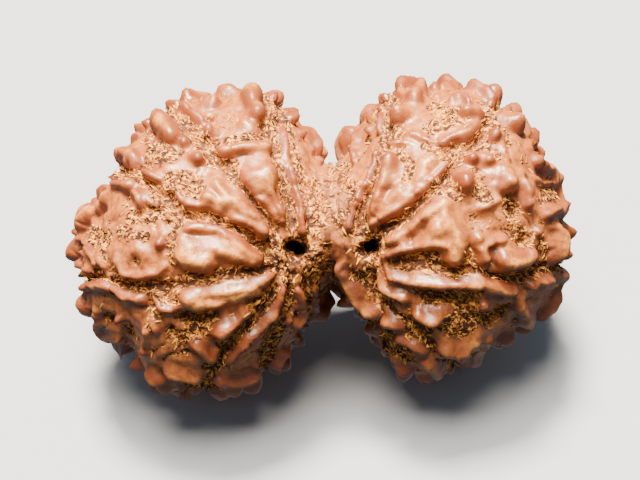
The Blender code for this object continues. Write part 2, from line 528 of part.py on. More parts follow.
def thrown_knobs(ridges, furrows, kind):
    # Knobs at random places, each kept where it clears what is there already
    rng = np.random.default_rng(SEED)
    spots = [path_spots(path) for _, _, path in ridges]
    widths = [np.full(len(s), np.max(width)) for s, (_, width, _) in zip(spots, ridges)]
    spots, widths = np.concatenate(spots), np.concatenate(widths)
    shares = rng.uniform(0.02, 0.98, THROWS)
    angles = rng.uniform(0, 2 * math.pi, THROWS)
    places, normals = skin(shares, angles), skin_normals(shares, angles)
    barred = normals[:, 2] > kind["below"]
    barred |= np.abs(places[:, 0]) < NECK_ROOM
    barred |= furrow_depth(places, furrows, FURROW_WIDTH) > FURROW_ROOM
    for hole in HOLES:
        barred |= np.linalg.norm(places[:, :2] - np.array(hole), axis=1) < HOLE_ROOM
    kept = []
    for i in np.flatnonzero(~barred):
        width = rng.uniform(*kind["widths"])
        length = rng.uniform(*kind["lengths"])
        lean = rng.uniform(0, math.pi)
        size = rng.uniform(*kind["sizes"])
        radius = max(math.hypot(places[i, 1], places[i, 2]), 1.0)
        share = shares[i] + length * math.cos(lean) / SKIN_LENGTH
        angle = angles[i] + length * math.sin(lean) / radius
        end = skin(np.clip(share, 0.01, 0.99), angle)
        path = path_spots(np.array([places[i], end]))
        gaps = np.linalg.norm(spots[:, None] - path[None], axis=2).min(axis=1)
        if (gaps < kind["room"] * (widths + width)).any():
            continue
        kept.append((size, width, np.array([places[i], end])))
        spots = np.concatenate([spots, path])
        widths = np.concatenate([widths, np.full(len(path), width)])
    return kept


def lattice_noise(points, cell, seed):
    # Value noise: hashed numbers at the corners of a lattice, blended smoothly, -1 to 1
    place = points / cell
    corner = np.floor(place).astype(np.int64)
    part = place - corner
    part = part * part * (3 - 2 * part)
    total = np.zeros(points.shape[:-1])
    for dx in (0, 1):
        for dy in (0, 1):
            for dz in (0, 1):
                x, y, z = corner[..., 0] + dx, corner[..., 1] + dy, corner[..., 2] + dz
                mixed = (x * 73856093) ^ (y * 19349663) ^ (z * 83492791) ^ (seed * 2654435761)
                mixed = (mixed ^ (mixed >> 13)) * 1274126177 & 0x7FFFFFFF
                value = (mixed ^ (mixed >> 16)) / 0x3FFFFFFF - 1
                weight = part[..., 0] if dx else 1 - part[..., 0]
                weight = weight * (part[..., 1] if dy else 1 - part[..., 1])
                total += value * weight * (part[..., 2] if dz else 1 - part[..., 2])
    return total


def layered_noise(points, cell, seed, layers):
    # Each layer is half as large and half as strong as the one before
    return sum(lattice_noise(points, cell / 2**i, seed + i) / 2**i for i in range(layers))


def warped(points, amount, cell, seed):
    # Moves each point by three noises, so that no ridge keeps a ruler's edge
    shifts = [lattice_noise(points, cell, seed + i) for i in range(3)]
    return points + amount * np.stack(shifts, axis=-1)


def knobs_and_skirts(points, ridges):
    # The knobs' heights and their skirts', each joined by a power sum
    total, skirts = np.zeros((2, len(points)))
    up = np.array([0.0, SKIRT_LIFT, 0.0])
    stretch = 1 + RAGGED[0] * layered_noise(points, *RAGGED[1:])
    for share, width, path in ridges:
        widest = np.max(width)
        near = near_path(points, path, widest * 1.5)
        gap, along = along_path(points[near], path)
        total[near] += knob_height(gap * stretch[near], width_along(width, along), share) ** MERGE
        path = path + up * widest
        near = near_path(points, path, widest * SKIRT_WIDER)
        gap, along = along_path(points[near], path)
        skirts[near] += skirt_height(gap, width_along(width, along), share) ** 2
    crests = 1 - 2 * np.abs(layered_noise(points, *CRESTS[1:]))
    return total * (1 + CRESTS[0] * (crests - CRESTS_MIDDLE)) + skirts ** (MERGE / 2)


def relief(points, ridges, furrows, pits):
    # Height over the skin: knobs, skirts and ground, with lumps and creases between them,
    # less the furrows, the pits and the hollow round each hole
    ground = GROUND * (1 - furrow_depth(points, furrows, GROUND_REACH))
    height = (knobs_and_skirts(points, ridges) + ground**MERGE) ** (1.0 / MERGE)
    lumps = LUMPS[0] * layered_noise(points, *LUMPS[1:])
    height = height + lumps * np.exp(-((height / LUMPS_BELOW) ** 2))
    crease = np.exp(-((layered_noise(points, *CREASES[1:]) / CREASE_WIDTH) ** 2))
    height = height - CREASES[0] * crease * np.exp(-((height / CREASES_BELOW) ** 4))
    furrow = furrow_depth(points, furrows, FURROW_WIDTH)
    height = height * (1 - FURROW_PART * furrow) - FURROW_DEPTH * furrow
    for depth, width, path in pits:
        near = near_path(points, path, width * 2)
        gap, _ = along_path(points[near], path)
        height[near] -= depth * np.exp(-((gap / width) ** 2))
    for hole in HOLES:
        gap = np.linalg.norm(points[:, :2] - np.array(hole), axis=1) / MOUTH
        height -= (MOUTH_DEPTH + height) * np.exp(-(gap**4))
    return height


def rest_turn():
    # Growth frame to standing frame: w points up at TILT towards -Y
    sine, cosine = math.sin(TILT), math.cos(TILT)
    tilted = np.array([[1, 0, 0], [0, sine, -cosine], [0, cosine, sine]])
    return np.array(Matrix.Rotation(ROLL, 3, "Y")) @ tilted


def foot_knobs(turn, floor):
    # Four knobs under the stones, each just tall enough to reach the resting surface
    share, angle = np.meshgrid(np.linspace(0.02, 0.98, FOOT_GRID), np.linspace(0, 2 * math.pi, FOOT_GRID))
    points = skin(share, angle).reshape(-1, 3)
    normals = skin_normals(share, angle).reshape(-1, 3) @ turn.T
    under = normals[:, 2] < FOOT_FACING
    points, normals = points[under], normals[under]
    stood = points @ turn.T
    found = []
    for foot in FEET:
        i = np.argmin(((stood[:, :2] - np.array(foot)) ** 2).sum(axis=1))
        need = (stood[i, 2] - floor) / -normals[i, 2]
        found.append((need / (RISE + RISE_PER_WIDTH * FOOT_WIDTH), FOOT_WIDTH, points[i : i + 1]))
    return found


def new_object(name, mesh, collection):
    obj = bpy.data.objects.new(name, mesh)
    collection.objects.link(obj)
    return obj


def collection_named(name):
    collection = bpy.data.collections.new(name)
    bpy.context.scene.collection.children.link(collection)
    return collection


def nut_material():
    material = bpy.data.materials.new("nut")
    material.use_nodes = True
    shader = material.node_tree.nodes["Principled BSDF"]
    shader.inputs["Base Color"].default_value = NUT_COLOUR
    shader.inputs["Roughness"].default_value = NUT_ROUGHNESS
    shader.inputs["Metallic"].default_value = 0.0
    return material


def wider(width):
    # From a listed half-width, or pair of them, to the knob's foot
    return tuple(np.array(width) * SEEN_WIDER) if isinstance(width, tuple) else width * SEEN_WIDER


def grown_relief():
    # Everything that stands on the skin or is sunk in it
    front = Front()
    holes = [HOLES[0]] * len(LEFT_FURROWS) + [HOLES[1]] * len(RIGHT_FURROWS)
    paths = [front.along(path) for path in LEFT_FURROWS + RIGHT_FURROWS]
    furrows = list(zip(holes, paths))
    ridges = [(share, wider(width), front.along(path)) for share, width, path in SEEN_RIDGES]
    pits = [(depth, width, front.along(path)) for depth, width, path in PITS]
    ridges += back_ridges(furrows)
    ridges += thrown_knobs(ridges, furrows, LARGE)
    ridges += thrown_knobs(ridges, furrows, SMALL)
    return ridges, furrows, pits


def ball_mesh():
    # A sphere with its poles on X, and each point's share of the way and angle round
    bm = bmesh.new()
    bmesh.ops.create_uvsphere(
        bm, u_segments=SEGMENTS, v_segments=RINGS, radius=1.0, matrix=Matrix.Rotation(math.pi / 2, 4, "Y")
    )
    bmesh.ops.triangulate(bm, faces=bm.faces[:])
    mesh = bpy.data.meshes.new(NODE)
    bm.to_mesh(mesh)
    bm.free()
    ball = np.empty(len(mesh.vertices) * 3, np.float32)
    mesh.vertices.foreach_get("co", ball)
    ball = ball.reshape(-1, 3).astype(float)
    share = np.arccos(np.clip(-ball[:, 0], -1, 1)) / math.pi
    return mesh, share, np.arctan2(ball[:, 2], ball[:, 1])


def twin_stone(collection):
    # The ball moved onto the skin, raised by the relief and set down on its feet
    mesh, share, angle = ball_mesh()
    points, normals = skin(share, angle), skin_normals(share, angle)
    ridges, furrows, pits = grown_relief()
    turn = rest_turn()
    grown = points + normals * relief(points, ridges, furrows, pits)[:, None]
    floor = (grown @ turn.T)[:, 2].min()
    ridges += foot_knobs(turn, floor)
    bent = warped(warped(points, *BROAD_WARP), *FINE_WARP)
    grown = points + normals * relief(bent, ridges, furrows, pits)[:, None]
    stood = grown @ turn.T
    low, high = stood.min(axis=0), stood.max(axis=0)
    shift = -np.array([(low[0] + high[0]) / 2, (low[1] + high[1]) / 2, low[2] + FOOT_CUT])
    mesh.vertices.foreach_set("co", ((stood + shift) * MM).ravel())
    mesh.update()
    obj = new_object(NODE, mesh, collection)
    obj.data.materials.append(nut_material())
    obj.modifiers.new("thin", "DECIMATE").ratio = KEPT_SHARE
    print(len(ridges), "knobs and ridges raised")
    return obj, turn, shift


def cut(obj, cutter):
    modifier = obj.modifiers.new(cutter.name, "BOOLEAN")
    modifier.operation = "DIFFERENCE"
    modifier.object = cutter
    cutter.hide_render = True
    cutter.display_type = "WIRE"


def cutter_object(name, bm, collection):
    mesh = bpy.data.meshes.new(name)
    bm.to_mesh(mesh)
    bm.free()
    return new_object(name, mesh, collection)


def hole_cutter(name, hole, turn, shift, collection):
    # A rod along w, through one stone from hole to hole
    bm = bmesh.new()
    bmesh.ops.create_cone(
        bm,
        cap_ends=True,
        segments=HOLE_SIDES,
        radius1=HOLE_RADIUS * MM,
        radius2=HOLE_RADIUS * MM,
        depth=CUTTER_LENGTH * MM,
    )
    obj = cutter_object(name, bm, collection)
    centre = turn @ np.array([*hole, 0.0]) + shift
    obj.matrix_world = Matrix.Translation(Vector(centre * MM)) @ Matrix(turn.tolist()).to_4x4()
    return obj


def floor_cutter(collection):
    # A box under the resting surface
    bm = bmesh.new()
    bmesh.ops.create_cube(bm, size=1.0)
    obj = cutter_object("below_rest", bm, collection)
    obj.scale = [side * MM for side in FLOOR_CUTTER]
    obj.location = (0, 0, -FLOOR_CUTTER[2] / 2 * MM)
    return obj


for old in list(bpy.data.objects):
    bpy.data.objects.remove(old, do_unlink=True)
parts = collection_named("gauri shankar rudraksha")
cutters = collection_named("cutters")
nut, turn, shift = twin_stone(parts)
for side, hole in zip(("left", "right"), HOLES):
    cut(nut, hole_cutter(side + "_hole", hole, turn, shift, cutters))
cut(nut, floor_cutter(cutters))
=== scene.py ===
import math

import bpy
import numpy as np
from mathutils import Matrix, Vector


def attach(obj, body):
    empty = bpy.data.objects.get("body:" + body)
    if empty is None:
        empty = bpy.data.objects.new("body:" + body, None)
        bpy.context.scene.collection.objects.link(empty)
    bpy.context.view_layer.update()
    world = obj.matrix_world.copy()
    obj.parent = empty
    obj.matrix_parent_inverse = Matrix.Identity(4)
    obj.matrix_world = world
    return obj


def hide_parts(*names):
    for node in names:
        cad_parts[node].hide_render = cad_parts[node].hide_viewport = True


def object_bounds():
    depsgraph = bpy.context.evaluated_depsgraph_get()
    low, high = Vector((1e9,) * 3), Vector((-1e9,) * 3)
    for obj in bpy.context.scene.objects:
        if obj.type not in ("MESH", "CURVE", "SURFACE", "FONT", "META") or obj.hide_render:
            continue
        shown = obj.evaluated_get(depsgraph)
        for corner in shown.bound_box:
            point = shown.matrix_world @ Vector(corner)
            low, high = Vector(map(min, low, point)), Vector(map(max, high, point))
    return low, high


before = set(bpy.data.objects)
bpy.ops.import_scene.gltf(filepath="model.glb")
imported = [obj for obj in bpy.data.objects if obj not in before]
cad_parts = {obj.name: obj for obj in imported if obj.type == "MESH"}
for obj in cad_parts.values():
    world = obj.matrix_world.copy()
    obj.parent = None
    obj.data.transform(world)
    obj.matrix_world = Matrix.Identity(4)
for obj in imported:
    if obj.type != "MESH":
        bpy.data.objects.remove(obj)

mm = 0.001
cadLow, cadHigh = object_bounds()
print("frame loaded")

# What a user would change about the pair's form
pairForm = {
    "left": {"middle": -8.0, "reach": 9.5, "depth": 8.95},
    "right": {"middle": 7.2, "reach": 8.9, "depth": 8.85},
    "neckDepth": 5.9,
    "neckReach": 6.0,  # how far from the seam the neck ends
    "roundness": 2.0,  # superellipse power of the depth along each stone
    "blend": 6.0,  # power that rounds the stones into the neck
    "holes": [(-2.3, -0.5), (2.4, -0.3)],  # u and v of the line along each
    "tilt": 40.0,  # degrees the holes look up by
    "roll": 3.2,  # degrees that level the two stones
}

# The pair's outline without its knobs, over the top from the left tip and back underneath
pairOutline = [
    (-16.3, 0.3), (-16.0, 1.6), (-14.7, 2.8), (-14.1, 3.7), (-13.8, 4.9), (-12.9, 6.2),
    (-12.1, 7.1), (-11.4, 8.1), (-10.4, 8.9), (-9.0, 9.1), (-7.5, 9.1), (-6.2, 9.5),
    (-5.0, 9.7), (-3.9, 9.2), (-3.0, 8.2), (-2.2, 6.9), (-1.5, 5.7), (-0.8, 4.9),
    (0.0, 4.7), (0.8, 5.1), (1.7, 6.2), (2.5, 7.4), (3.3, 8.9), (4.1, 9.7),
    (5.2, 9.9), (6.8, 9.7), (8.5, 9.9), (9.9, 9.7), (11.0, 9.0), (12.0, 8.0),
    (12.5, 7.1), (12.8, 6.3), (13.4, 5.2), (14.2, 4.1), (14.7, 2.8), (14.9, 1.5),
    (15.0, 0.0), (15.0, -1.5), (14.6, -2.9), (14.0, -3.8), (13.2, -4.6), (12.2, -5.2),
    (11.2, -5.8), (10.2, -6.6), (9.4, -7.4), (8.3, -7.9), (7.0, -8.3), (5.7, -8.3),
    (4.6, -8.0), (3.8, -7.1), (3.1, -5.8), (2.2, -4.5), (1.0, -3.0), (0.1, -2.3),
    (-0.7, -3.0), (-1.5, -4.4), (-2.2, -5.6), (-3.0, -6.7), (-3.8, -7.6), (-4.7, -8.3),
    (-5.8, -9.0), (-7.5, -9.5), (-9.0, -9.7), (-10.4, -9.5), (-11.4, -9.0), (-12.0, -8.2),
    (-12.6, -7.2), (-13.3, -6.5), (-14.3, -6.1), (-15.1, -5.3), (-15.5, -4.4), (-15.9, -3.2),
    (-16.1, -1.4),
]


def smoothOutline(points):
    # a closed Catmull-Rom curve through the points
    p1 = np.array(points)
    p0, p2, p3 = np.roll(p1, 1, axis=0), np.roll(p1, -1, axis=0), np.roll(p1, -2, axis=0)
    t = np.linspace(0.0, 1.0, 40, endpoint=False)[:, None, None]
    bend = (2 * p0 - 5 * p1 + 4 * p2 - p3) * t**2 + (3 * p1 - p0 - 3 * p2 + p3) * t**3
    curve = (2 * p1 + (p2 - p0) * t + bend) / 2
    curve = curve.transpose(1, 0, 2).reshape(-1, 2)
    curve = np.roll(curve, -int(curve[:, 0].argmin()), axis=0)
    turning = int(curve[:, 0].argmax())
    return curve[: turning + 1], np.concatenate([curve[turning:], curve[:1]])[::-1]


topLine, bottomLine = smoothOutline(pairOutline)


def superellipse(x, power):
    # (1 - |x|^power)^(1 / power)
    return np.maximum(1.0 - np.abs(x) ** power, 0.0) ** (1.0 / power)


def stoneDepth(u, stone):
    # depth * (1 - x^r)^(1/r), where x is 0 at the stone's middle and 1 at its tip, and
    # towards the seam 1 at its reach
    side = np.sign(stone["middle"])
    tip = topLine[0, 0] if side < 0 else topLine[-1, 0]
    away = (u - stone["middle"]) * side
    outer = np.clip(away / ((tip - stone["middle"]) * side), 0.0, 1.0)
    inner = np.clip(-away / stone["reach"], 0.0, 1.0)
    return stone["depth"] * superellipse(np.maximum(outer, inner), pairForm["roundness"])


def halfSizes(u):
    # top and bottom from the outline; depth (left^b + right^b + neck^b)^(1/b)
    power = pairForm["blend"]
    neck = pairForm["neckDepth"] * np.maximum(1.0 - (u / pairForm["neckReach"]) ** 2, 0.0)
    shares = (stoneDepth(u, pairForm["left"]), stoneDepth(u, pairForm["right"]), neck)
    depth = sum(share**power for share in shares) ** (1.0 / power)
    return np.interp(u, *topLine.T), -np.interp(u, *bottomLine.T), depth


def alongPair():
    # u at even steps of length along the skin, from the left tip to the right one
    left, right = topLine[0, 0], topLine[-1, 0]
    u = (left + right) / 2 - (right - left) / 2 * np.cos(np.linspace(0.0, math.pi, 4001))
    top, bottom, depth = halfSizes(u)
    steps = np.hypot(np.diff(u), np.diff(np.sqrt((top + bottom) / 2 * depth)))
    length = np.concatenate([[0.0], np.cumsum(steps)])
    return length / length[-1], u, length[-1]


skinShare, skinPlace, skinLength = alongPair()


def skinAt(share, angle):
    # an ellipse at u(share): v = middle + half * cos(angle), w = depth * sin(angle)
    u = np.interp(share, skinShare, skinPlace)
    top, bottom, depth = halfSizes(u)
    v = (top - bottom) / 2 + (top + bottom) / 2 * np.cos(angle)
    return np.stack([u, v, depth * np.sin(angle)], axis=-1)


def unit(vectors):
    return vectors / np.maximum(np.linalg.norm(vectors, axis=-1, keepdims=True), 1e-9)


def skinNormals(share, angle):
    # outward, across two short steps on the skin
    step = 1e-3
    inside = np.clip(share, 2 * step, 1 - 2 * step)
    along = skinAt(inside + step, angle) - skinAt(inside - step, angle)
    around = skinAt(inside, angle + step) - skinAt(inside, angle - step)
    return unit(np.cross(around, along))


# What a user would change about the knobs, ridges and furrows
reliefForm = {
    "rise": 0.72,  # height of the thinnest ridge
    "risePerWidth": 0.75,  # and what each millimetre of half-width adds
    "crown": 1.5,  # power that flattens a knob's top
    "side": 0.88,  # power that steepens its sides
    "ground": 0.40,  # height of a segment between its knobs
    "groundReach": 0.9,  # how far from a furrow it rises
    "merge": 5.0,  # power that rounds neighbours into each other
    "skirt": 0.52,  # height of a knob's skirt, as a share of the knob's
    "skirtWider": 2.1,  # and its half-width, as a share of the knob's
    "skirtLift": 0.6,  # how far the skirt sits above its knob, in half-widths
    "swell": 0.34,  # share by which crooked crests stand up on the knobs
    "swellCell": 1.3,
    "swellMiddle": 0.4,
    "lumps": 0.16,  # height of the lumps between the knobs
    "lumpCell": 1.5,
    "lumpTop": 0.8,  # height at which the lumps have faded
    "seenWider": 1.06,  # from a knob's crest, whose half-width is listed, to its foot
    "lift": 0.7,  # height at which a place on the front is sighted
    "eyeDistance": 150.0,
    "eye": (-0.8, 0.13),
    "sightGrid": 560,
    "furrowWidth": 0.24,
    "furrowDepth": 0.16,
    "furrowPart": 0.7,  # share of a ridge's height that a furrow takes away
    "furrowAhead": 0.9,  # distance from its hole at which a furrow goes on round the back
    "furrowRoom": 0.3,  # depth of furrow in which no knob is thrown
    "knobReach": 1.5,  # how many half-widths from its path a knob is worked out
    "furrowReach": 3,
    "pitReach": 2,
    "mouth": 0.7,  # half-width of the hollow round each hole
    "mouthDepth": 0.35,
    "seed": 7,
    "large": {  # the knobs thrown over what the photo hides
        "widths": (0.55, 1.05),
        "lengths": (0.0, 1.8),
        "sizes": (0.8, 1.25),
        "room": 0.86,  # least gap to a neighbour, as a share of both half-widths
        "below": 0.10,  # they stay where the skin faces the front less than this
    },
    "small": {
        "widths": (0.25, 0.45),
        "lengths": (0.0, 1.0),
        "sizes": (0.8, 1.1),
        "room": 1.1,
        "below": 0.25,
    },
    "throws": 6000,
    "spotGap": 0.4,
    "neckRoom": 1.3,  # how far they stay from the seam
    "holeRoom": 1.4,  # and from the holes
    "ragged": 0.38,  # share by which a knob's outline wanders
    "raggedCell": 0.9,
    "crease": 0.16,  # depth of the thin creases between the knobs
    "creaseCell": 2.0,
    "creaseWidth": 0.11,
    "creaseTop": 1.0,  # height at which they have faded
    "ridgeSize": 0.85,  # height share of the ridges round the back holes
    "ridgeWidths": (0.34, 0.7),
    "ridgeFill": 0.9,  # their half-width, as a share of the angle between two furrows
    "wideGap": 0.9,  # of half a turn; between furrows further apart there is no ridge
    "ridgeStart": 1.5,
    "ridgeEnd": 5.0,
    "feet": [(-8.4, -1.5), (-8.0, 1.7), (8.2, -1.4), (7.8, 1.8)],
    "footWidth": 0.85,
    "footGrid": 420,
    "underside": -0.5,  # they stand where the skin faces down more than this
    "footCut": 0.22,  # what the resting surface takes off each foot
}

# Each ridge or knob: (height share, crest's half-width, points along it)
leftCrest = [
    (1.15, 0.47, [(-9.7, 9.9)]),
    (0.9, 0.35, [(-11.1, 9.3), (-10.3, 9.4)]),
    (1.0, 0.40, [(-10.0, 9.1), (-8.8, 8.3)]),
    (1.0, 0.35, [(-11.9, 9.1)]),
    (1.0, 0.47, [(-12.7, 8.3)]),
    (1.0, 0.73, [(-11.7, 8.3), (-10.9, 7.1)]),
    (0.9, 0.53, [(-9.9, 6.7)]),
    (0.8, 0.35, [(-12.4, 6.9)]),
    (1.0, 0.65, [(-14.0, 6.0), (-13.2, 5.6)]),
    (0.9, 0.40, [(-12.7, 4.6), (-11.6, 4.3)]),
    (0.9, 0.35, [(-15.2, 4.9), (-14.9, 4.3)]),
    (1.1, 0.60, [(-9.1, 5.5)]),
    (1.0, 0.60, [(-8.3, 7.5)]),
    (1.0, 0.80, [(-8.0, 9.3)]),
    (0.6, 0.47, [(-6.7, 9.6)]),
    (1.1, 0.65, [(-5.5, 10.0), (-4.8, 8.5)]),
    (0.5, 1.10, [(-5.6, 8.1)]),
    (0.9, 0.48, [(-7.4, 5.9), (-4.3, 6.5)]),
    (0.9, 0.35, [(-4.4, 10.1)]),
    (0.9, 0.40, [(-3.7, 9.9)]),
    (0.9, 0.50, [(-3.6, 8.9)]),
    (0.9, 0.65, [(-2.3, 8.5)]),
    (0.9, 0.47, [(-1.9, 7.3)]),
    (0.9, 0.45, [(-1.3, 6.3)]),
]
leftFlank = [
    (1.0, 0.47, [(-14.5, 3.9), (-13.5, 3.7)]),
    (1.0, 0.53, [(-13.2, 3.1), (-12.9, 2.7)]),
    (0.8, 0.30, [(-12.5, 2.9), (-11.7, 2.6)]),
    (0.8, 0.35, [(-11.5, 3.9), (-9.5, 2.7)]),
    (1.0, 0.67, [(-15.1, 2.8), (-16.7, 1.5)]),
    (1.2, 0.35, [(-17.3, 0.7)]),
    (0.9, 0.30, [(-17.3, 0.7), (-16.8, 0.1), (-16.3, -0.5), (-16.0, -1.7)]),
    (0.7, 0.60, [(-15.7, -1.3)]),
    (1.0, 0.47, [(-16.5, -1.9)]),
    (0.8, 0.40, [(-14.5, -1.1), (-14.0, -2.0), (-13.0, -2.4), (-11.9, -2.1), (-11.3, -1.6)]),
    (0.55, 1.20, [(-13.0, -0.9)]),
    (1.0, 0.47, [(-11.5, -0.2)]),
    (0.8, 0.35, [(-11.1, 1.5)]),
    (0.9, 0.53, [(-16.9, -3.1), (-16.1, -2.9), (-14.8, -3.2), (-13.8, -3.6), (-13.0, -3.9)]),
    (1.0, 0.47, [(-16.3, -4.4)]),
    (1.0, 0.60, [(-14.1, -5.2)]),
    (0.9, 0.50, [(-15.8, -4.7), (-15.6, -5.5), (-15.5, -6.1), (-15.0, -6.5), (-14.2, -6.6)]),
    (0.8, 0.38, [(-12.2, -5.1), (-11.8, -6.2)]),
    (0.8, 0.42, [(-12.5, -6.0), (-12.7, -6.9)]),
    (1.0, 0.47, [(-12.6, -7.4)]),
    (1.0, 0.75, [(-11.8, -9.1)]),
    (1.0, 0.53, [(-11.3, -9.7)]),
    (0.9, 0.70, [(-10.8, -8.8), (-9.1, -9.2)]),
    (0.9, 0.35, [(-10.1, -9.9)]),
    (0.9, 0.40, [(-10.0, -10.5), (-8.6, -10.1)]),
    (0.9, 0.62, [(-9.0, -6.9), (-8.0, -7.9)]),
    (0.5, 0.40, [(-9.8, -5.3)]),
    (1.0, 0.70, [(-7.6, -9.3), (-6.5, -9.4), (-5.3, -9.0)]),
    (0.9, 0.40, [(-4.9, -8.2)]),
    (0.9, 0.47, [(-2.9, -7.5)]),
    (1.25, 0.52, [(-2.9, -8.6)]),
    (1.1, 0.50, [(-3.5, -8.1)]),
    (0.8, 0.30, [(-1.9, -6.9)]),
]
leftRays = [
    (0.8, (0.40, 0.30), [(-3.1, 8.0), (-3.1, 6.8), (-2.8, 5.1)]),
    (0.9, (0.42, 0.34), [(-2.8, 5.1), (-2.2, 3.5), (-1.9, 1.8), (-1.7, 0.8)]),
    (0.88, (0.85, 0.35), [(-4.2, 4.6), (-3.9, 3.5), (-3.2, 1.6)]),
    (0.85, (0.45, 0.35), [(-5.9, 4.1), (-4.7, 2.9), (-3.6, 1.7)]),
    (0.70, (1.00, 0.60), [(-4.9, 4.3), (-3.8, 2.8)]),
    (0.85, (0.60, 0.40), [(-7.7, 4.0), (-6.9, 2.9), (-5.8, 2.3), (-4.3, 0.9)]),
    (0.88, (0.36, 0.46), [(-9.5, 2.8), (-7.8, 2.3), (-6.1, 1.5), (-4.3, 0.6)]),
    (0.72, (0.90, 0.55), [(-8.2, 3.1), (-5.6, 1.9)]),
    (0.85, (0.42, 0.36), [(-9.5, 0.9), (-7.8, 0.8), (-6.5, -0.1), (-4.7, -1.2)]),
    (0.95, (0.85, 0.75), [(-9.7, -1.3), (-8.3, -1.5)]),
    (0.80, (0.65, 0.40), [(-7.8, -0.5), (-6.1, -0.9), (-4.7, -1.3)]),
    (0.62, 1.20, [(-9.2, -0.4)]),
    (0.62, (1.00, 0.50), [(-8.0, 0.0), (-5.8, -0.7)]),
    (0.95, (0.55, 0.42), [(-9.7, -3.8), (-8.8, -3.5), (-7.1, -3.4), (-5.5, -3.1), (-3.8, -2.2)]),
    (0.80, (0.90, 0.60), [(-9.0, -4.2), (-5.2, -3.4)]),
    (0.90, (0.35, 0.55), [(-11.9, -4.1), (-11.5, -4.6), (-10.8, -4.8), (-10.1, -4.4), (-9.7, -3.9)]),
    (0.90, (0.35, 0.55), [(-4.5, -3.7), (-5.8, -4.7)]),
    (0.95, (0.60, 0.90), [(-5.8, -4.7), (-6.7, -5.5), (-7.3, -6.0)]),
    (0.90, (0.45, 0.62), [(-3.3, -3.2), (-3.5, -4.2), (-4.0, -5.1), (-5.5, -6.5), (-6.8, -7.9)]),
    (0.85, (0.45, 0.58), [(-2.1, -3.3), (-1.9, -4.2), (-1.9, -5.2), (-2.3, -5.7)]),
    (0.80, 0.36, [(-2.8, -5.5)]),
    (0.70, (0.34, 0.42), [(-0.9, -3.2), (-0.9, -4.5), (-1.3, -5.7)]),
]
rightCrest = [
    (1.0, 0.45, [(3.0, 9.8)]),
    (0.8, 0.33, [(3.0, 8.7), (2.9, 7.5)]),
    (0.9, 0.45, [(2.0, 7.8), (1.3, 6.5), (1.2, 5.5)]),
    (0.45, 0.33, [(1.1, 6.6), (1.0, 5.6)]),
    (0.3, 0.50, [(0.4, 5.2)]),
    (0.8, 0.60, [(4.6, 10.2)]),
    (1.0, 0.73, [(4.5, 8.7)]),
    (1.0, 0.60, [(5.9, 10.5), (5.5, 9.6)]),
    (0.7, 0.50, [(7.0, 10.0)]),
    (0.7, 0.30, [(3.7, 6.7), (5.2, 6.8)]),
    (0.8, 0.35, [(5.3, 7.3), (6.5, 7.0), (7.5, 6.7)]),
    (0.9, 0.35, [(7.2, 10.4), (8.2, 10.7)]),
    (0.9, 0.28, [(7.9, 9.7), (8.2, 10.0), (8.7, 9.9), (9.1, 9.4)]),
    (1.0, 0.50, [(9.3, 10.5), (10.9, 9.7)]),
    (0.9, 0.45, [(10.9, 9.2)]),
    (1.0, 0.53, [(9.0, 8.7), (9.8, 8.7)]),
    (0.9, 0.40, [(7.4, 6.7), (8.4, 7.0), (9.2, 7.5), (9.7, 7.8)]),
    (1.1, 0.87, [(12.3, 7.9)]),
    (0.8, 0.28, [(11.7, 6.8), (11.7, 6.0), (12.0, 5.6)]),
    (0.9, 0.53, [(11.1, 7.2)]),
    (0.9, 0.35, [(13.5, 8.1), (13.3, 6.1)]),
    (0.9, 0.35, [(12.2, 9.3)]),
    (1.0, 0.60, [(13.7, 5.3), (15.2, 4.3)]),
    (0.9, 0.35, [(15.7, 3.8), (15.9, 3.1)]),
]
rightFlank = [
    (1.0, 0.53, [(9.5, 5.6)]),
    (1.0, 0.53, [(10.5, 5.5)]),
    (1.1, 0.67, [(8.9, 4.2), (8.8, 3.7)]),
    (1.1, 0.93, [(11.7, 4.0)]),
    (1.0, 0.53, [(12.9, 3.9), (13.1, 2.5)]),
    (0.8, 0.28, [(13.1, 4.5), (14.2, 3.9), (15.2, 4.0)]),
    (1.0, 0.53, [(14.4, 2.0), (15.7, 2.5)]),
    (0.8, 0.33, [(9.9, 2.3), (10.7, 2.5), (11.4, 2.7)]),
    (1.0, 0.53, [(9.9, 0.3), (10.2, -1.3)]),
    (0.8, 0.35, [(10.4, -0.2), (11.7, 0.1)]),
    (1.0, 0.80, [(11.7, -1.2), (13.2, -0.9)]),
    (1.0, 0.47, [(13.9, 0.5)]),
    (1.0, 0.90, [(15.2, 0.2), (15.2, -0.8)]),
    (1.0, 0.60, [(13.5, -2.9)]),
    (0.9, 0.50, [(14.2, -2.7), (15.6, -2.3)]),
    (1.0, 0.58, [(10.5, -2.9), (12.2, -3.2)]),
    (0.9, 0.45, [(11.5, -3.7)]),
    (0.9, 0.45, [(10.2, -4.4)]),
    (1.0, 0.75, [(12.7, -4.2), (13.0, -5.3)]),
    (1.0, 0.65, [(15.1, -3.8), (14.0, -5.1)]),
    (0.8, 0.28, [(12.2, -3.5), (12.3, -4.5)]),
    (0.7, 0.45, [(11.5, -5.7)]),
    (0.7, 0.50, [(10.5, -6.7)]),
    (0.9, 0.45, [(4.5, -6.7), (6.2, -7.4)]),
    (1.0, 0.65, [(4.7, -8.6)]),
    (1.0, 0.60, [(6.5, -8.0), (7.0, -8.9)]),
    (0.9, 0.40, [(8.1, -9.1)]),
    (0.9, 0.47, [(3.9, -7.9)]),
    (1.1, 0.68, [(7.2, -7.2), (7.9, -7.6), (8.7, -7.1)]),
    (0.9, 0.45, [(8.5, -8.1), (9.7, -8.3)]),
    (1.1, 0.60, [(9.5, -6.7)]),
    (0.8, 0.30, [(10.3, -7.5)]),
]
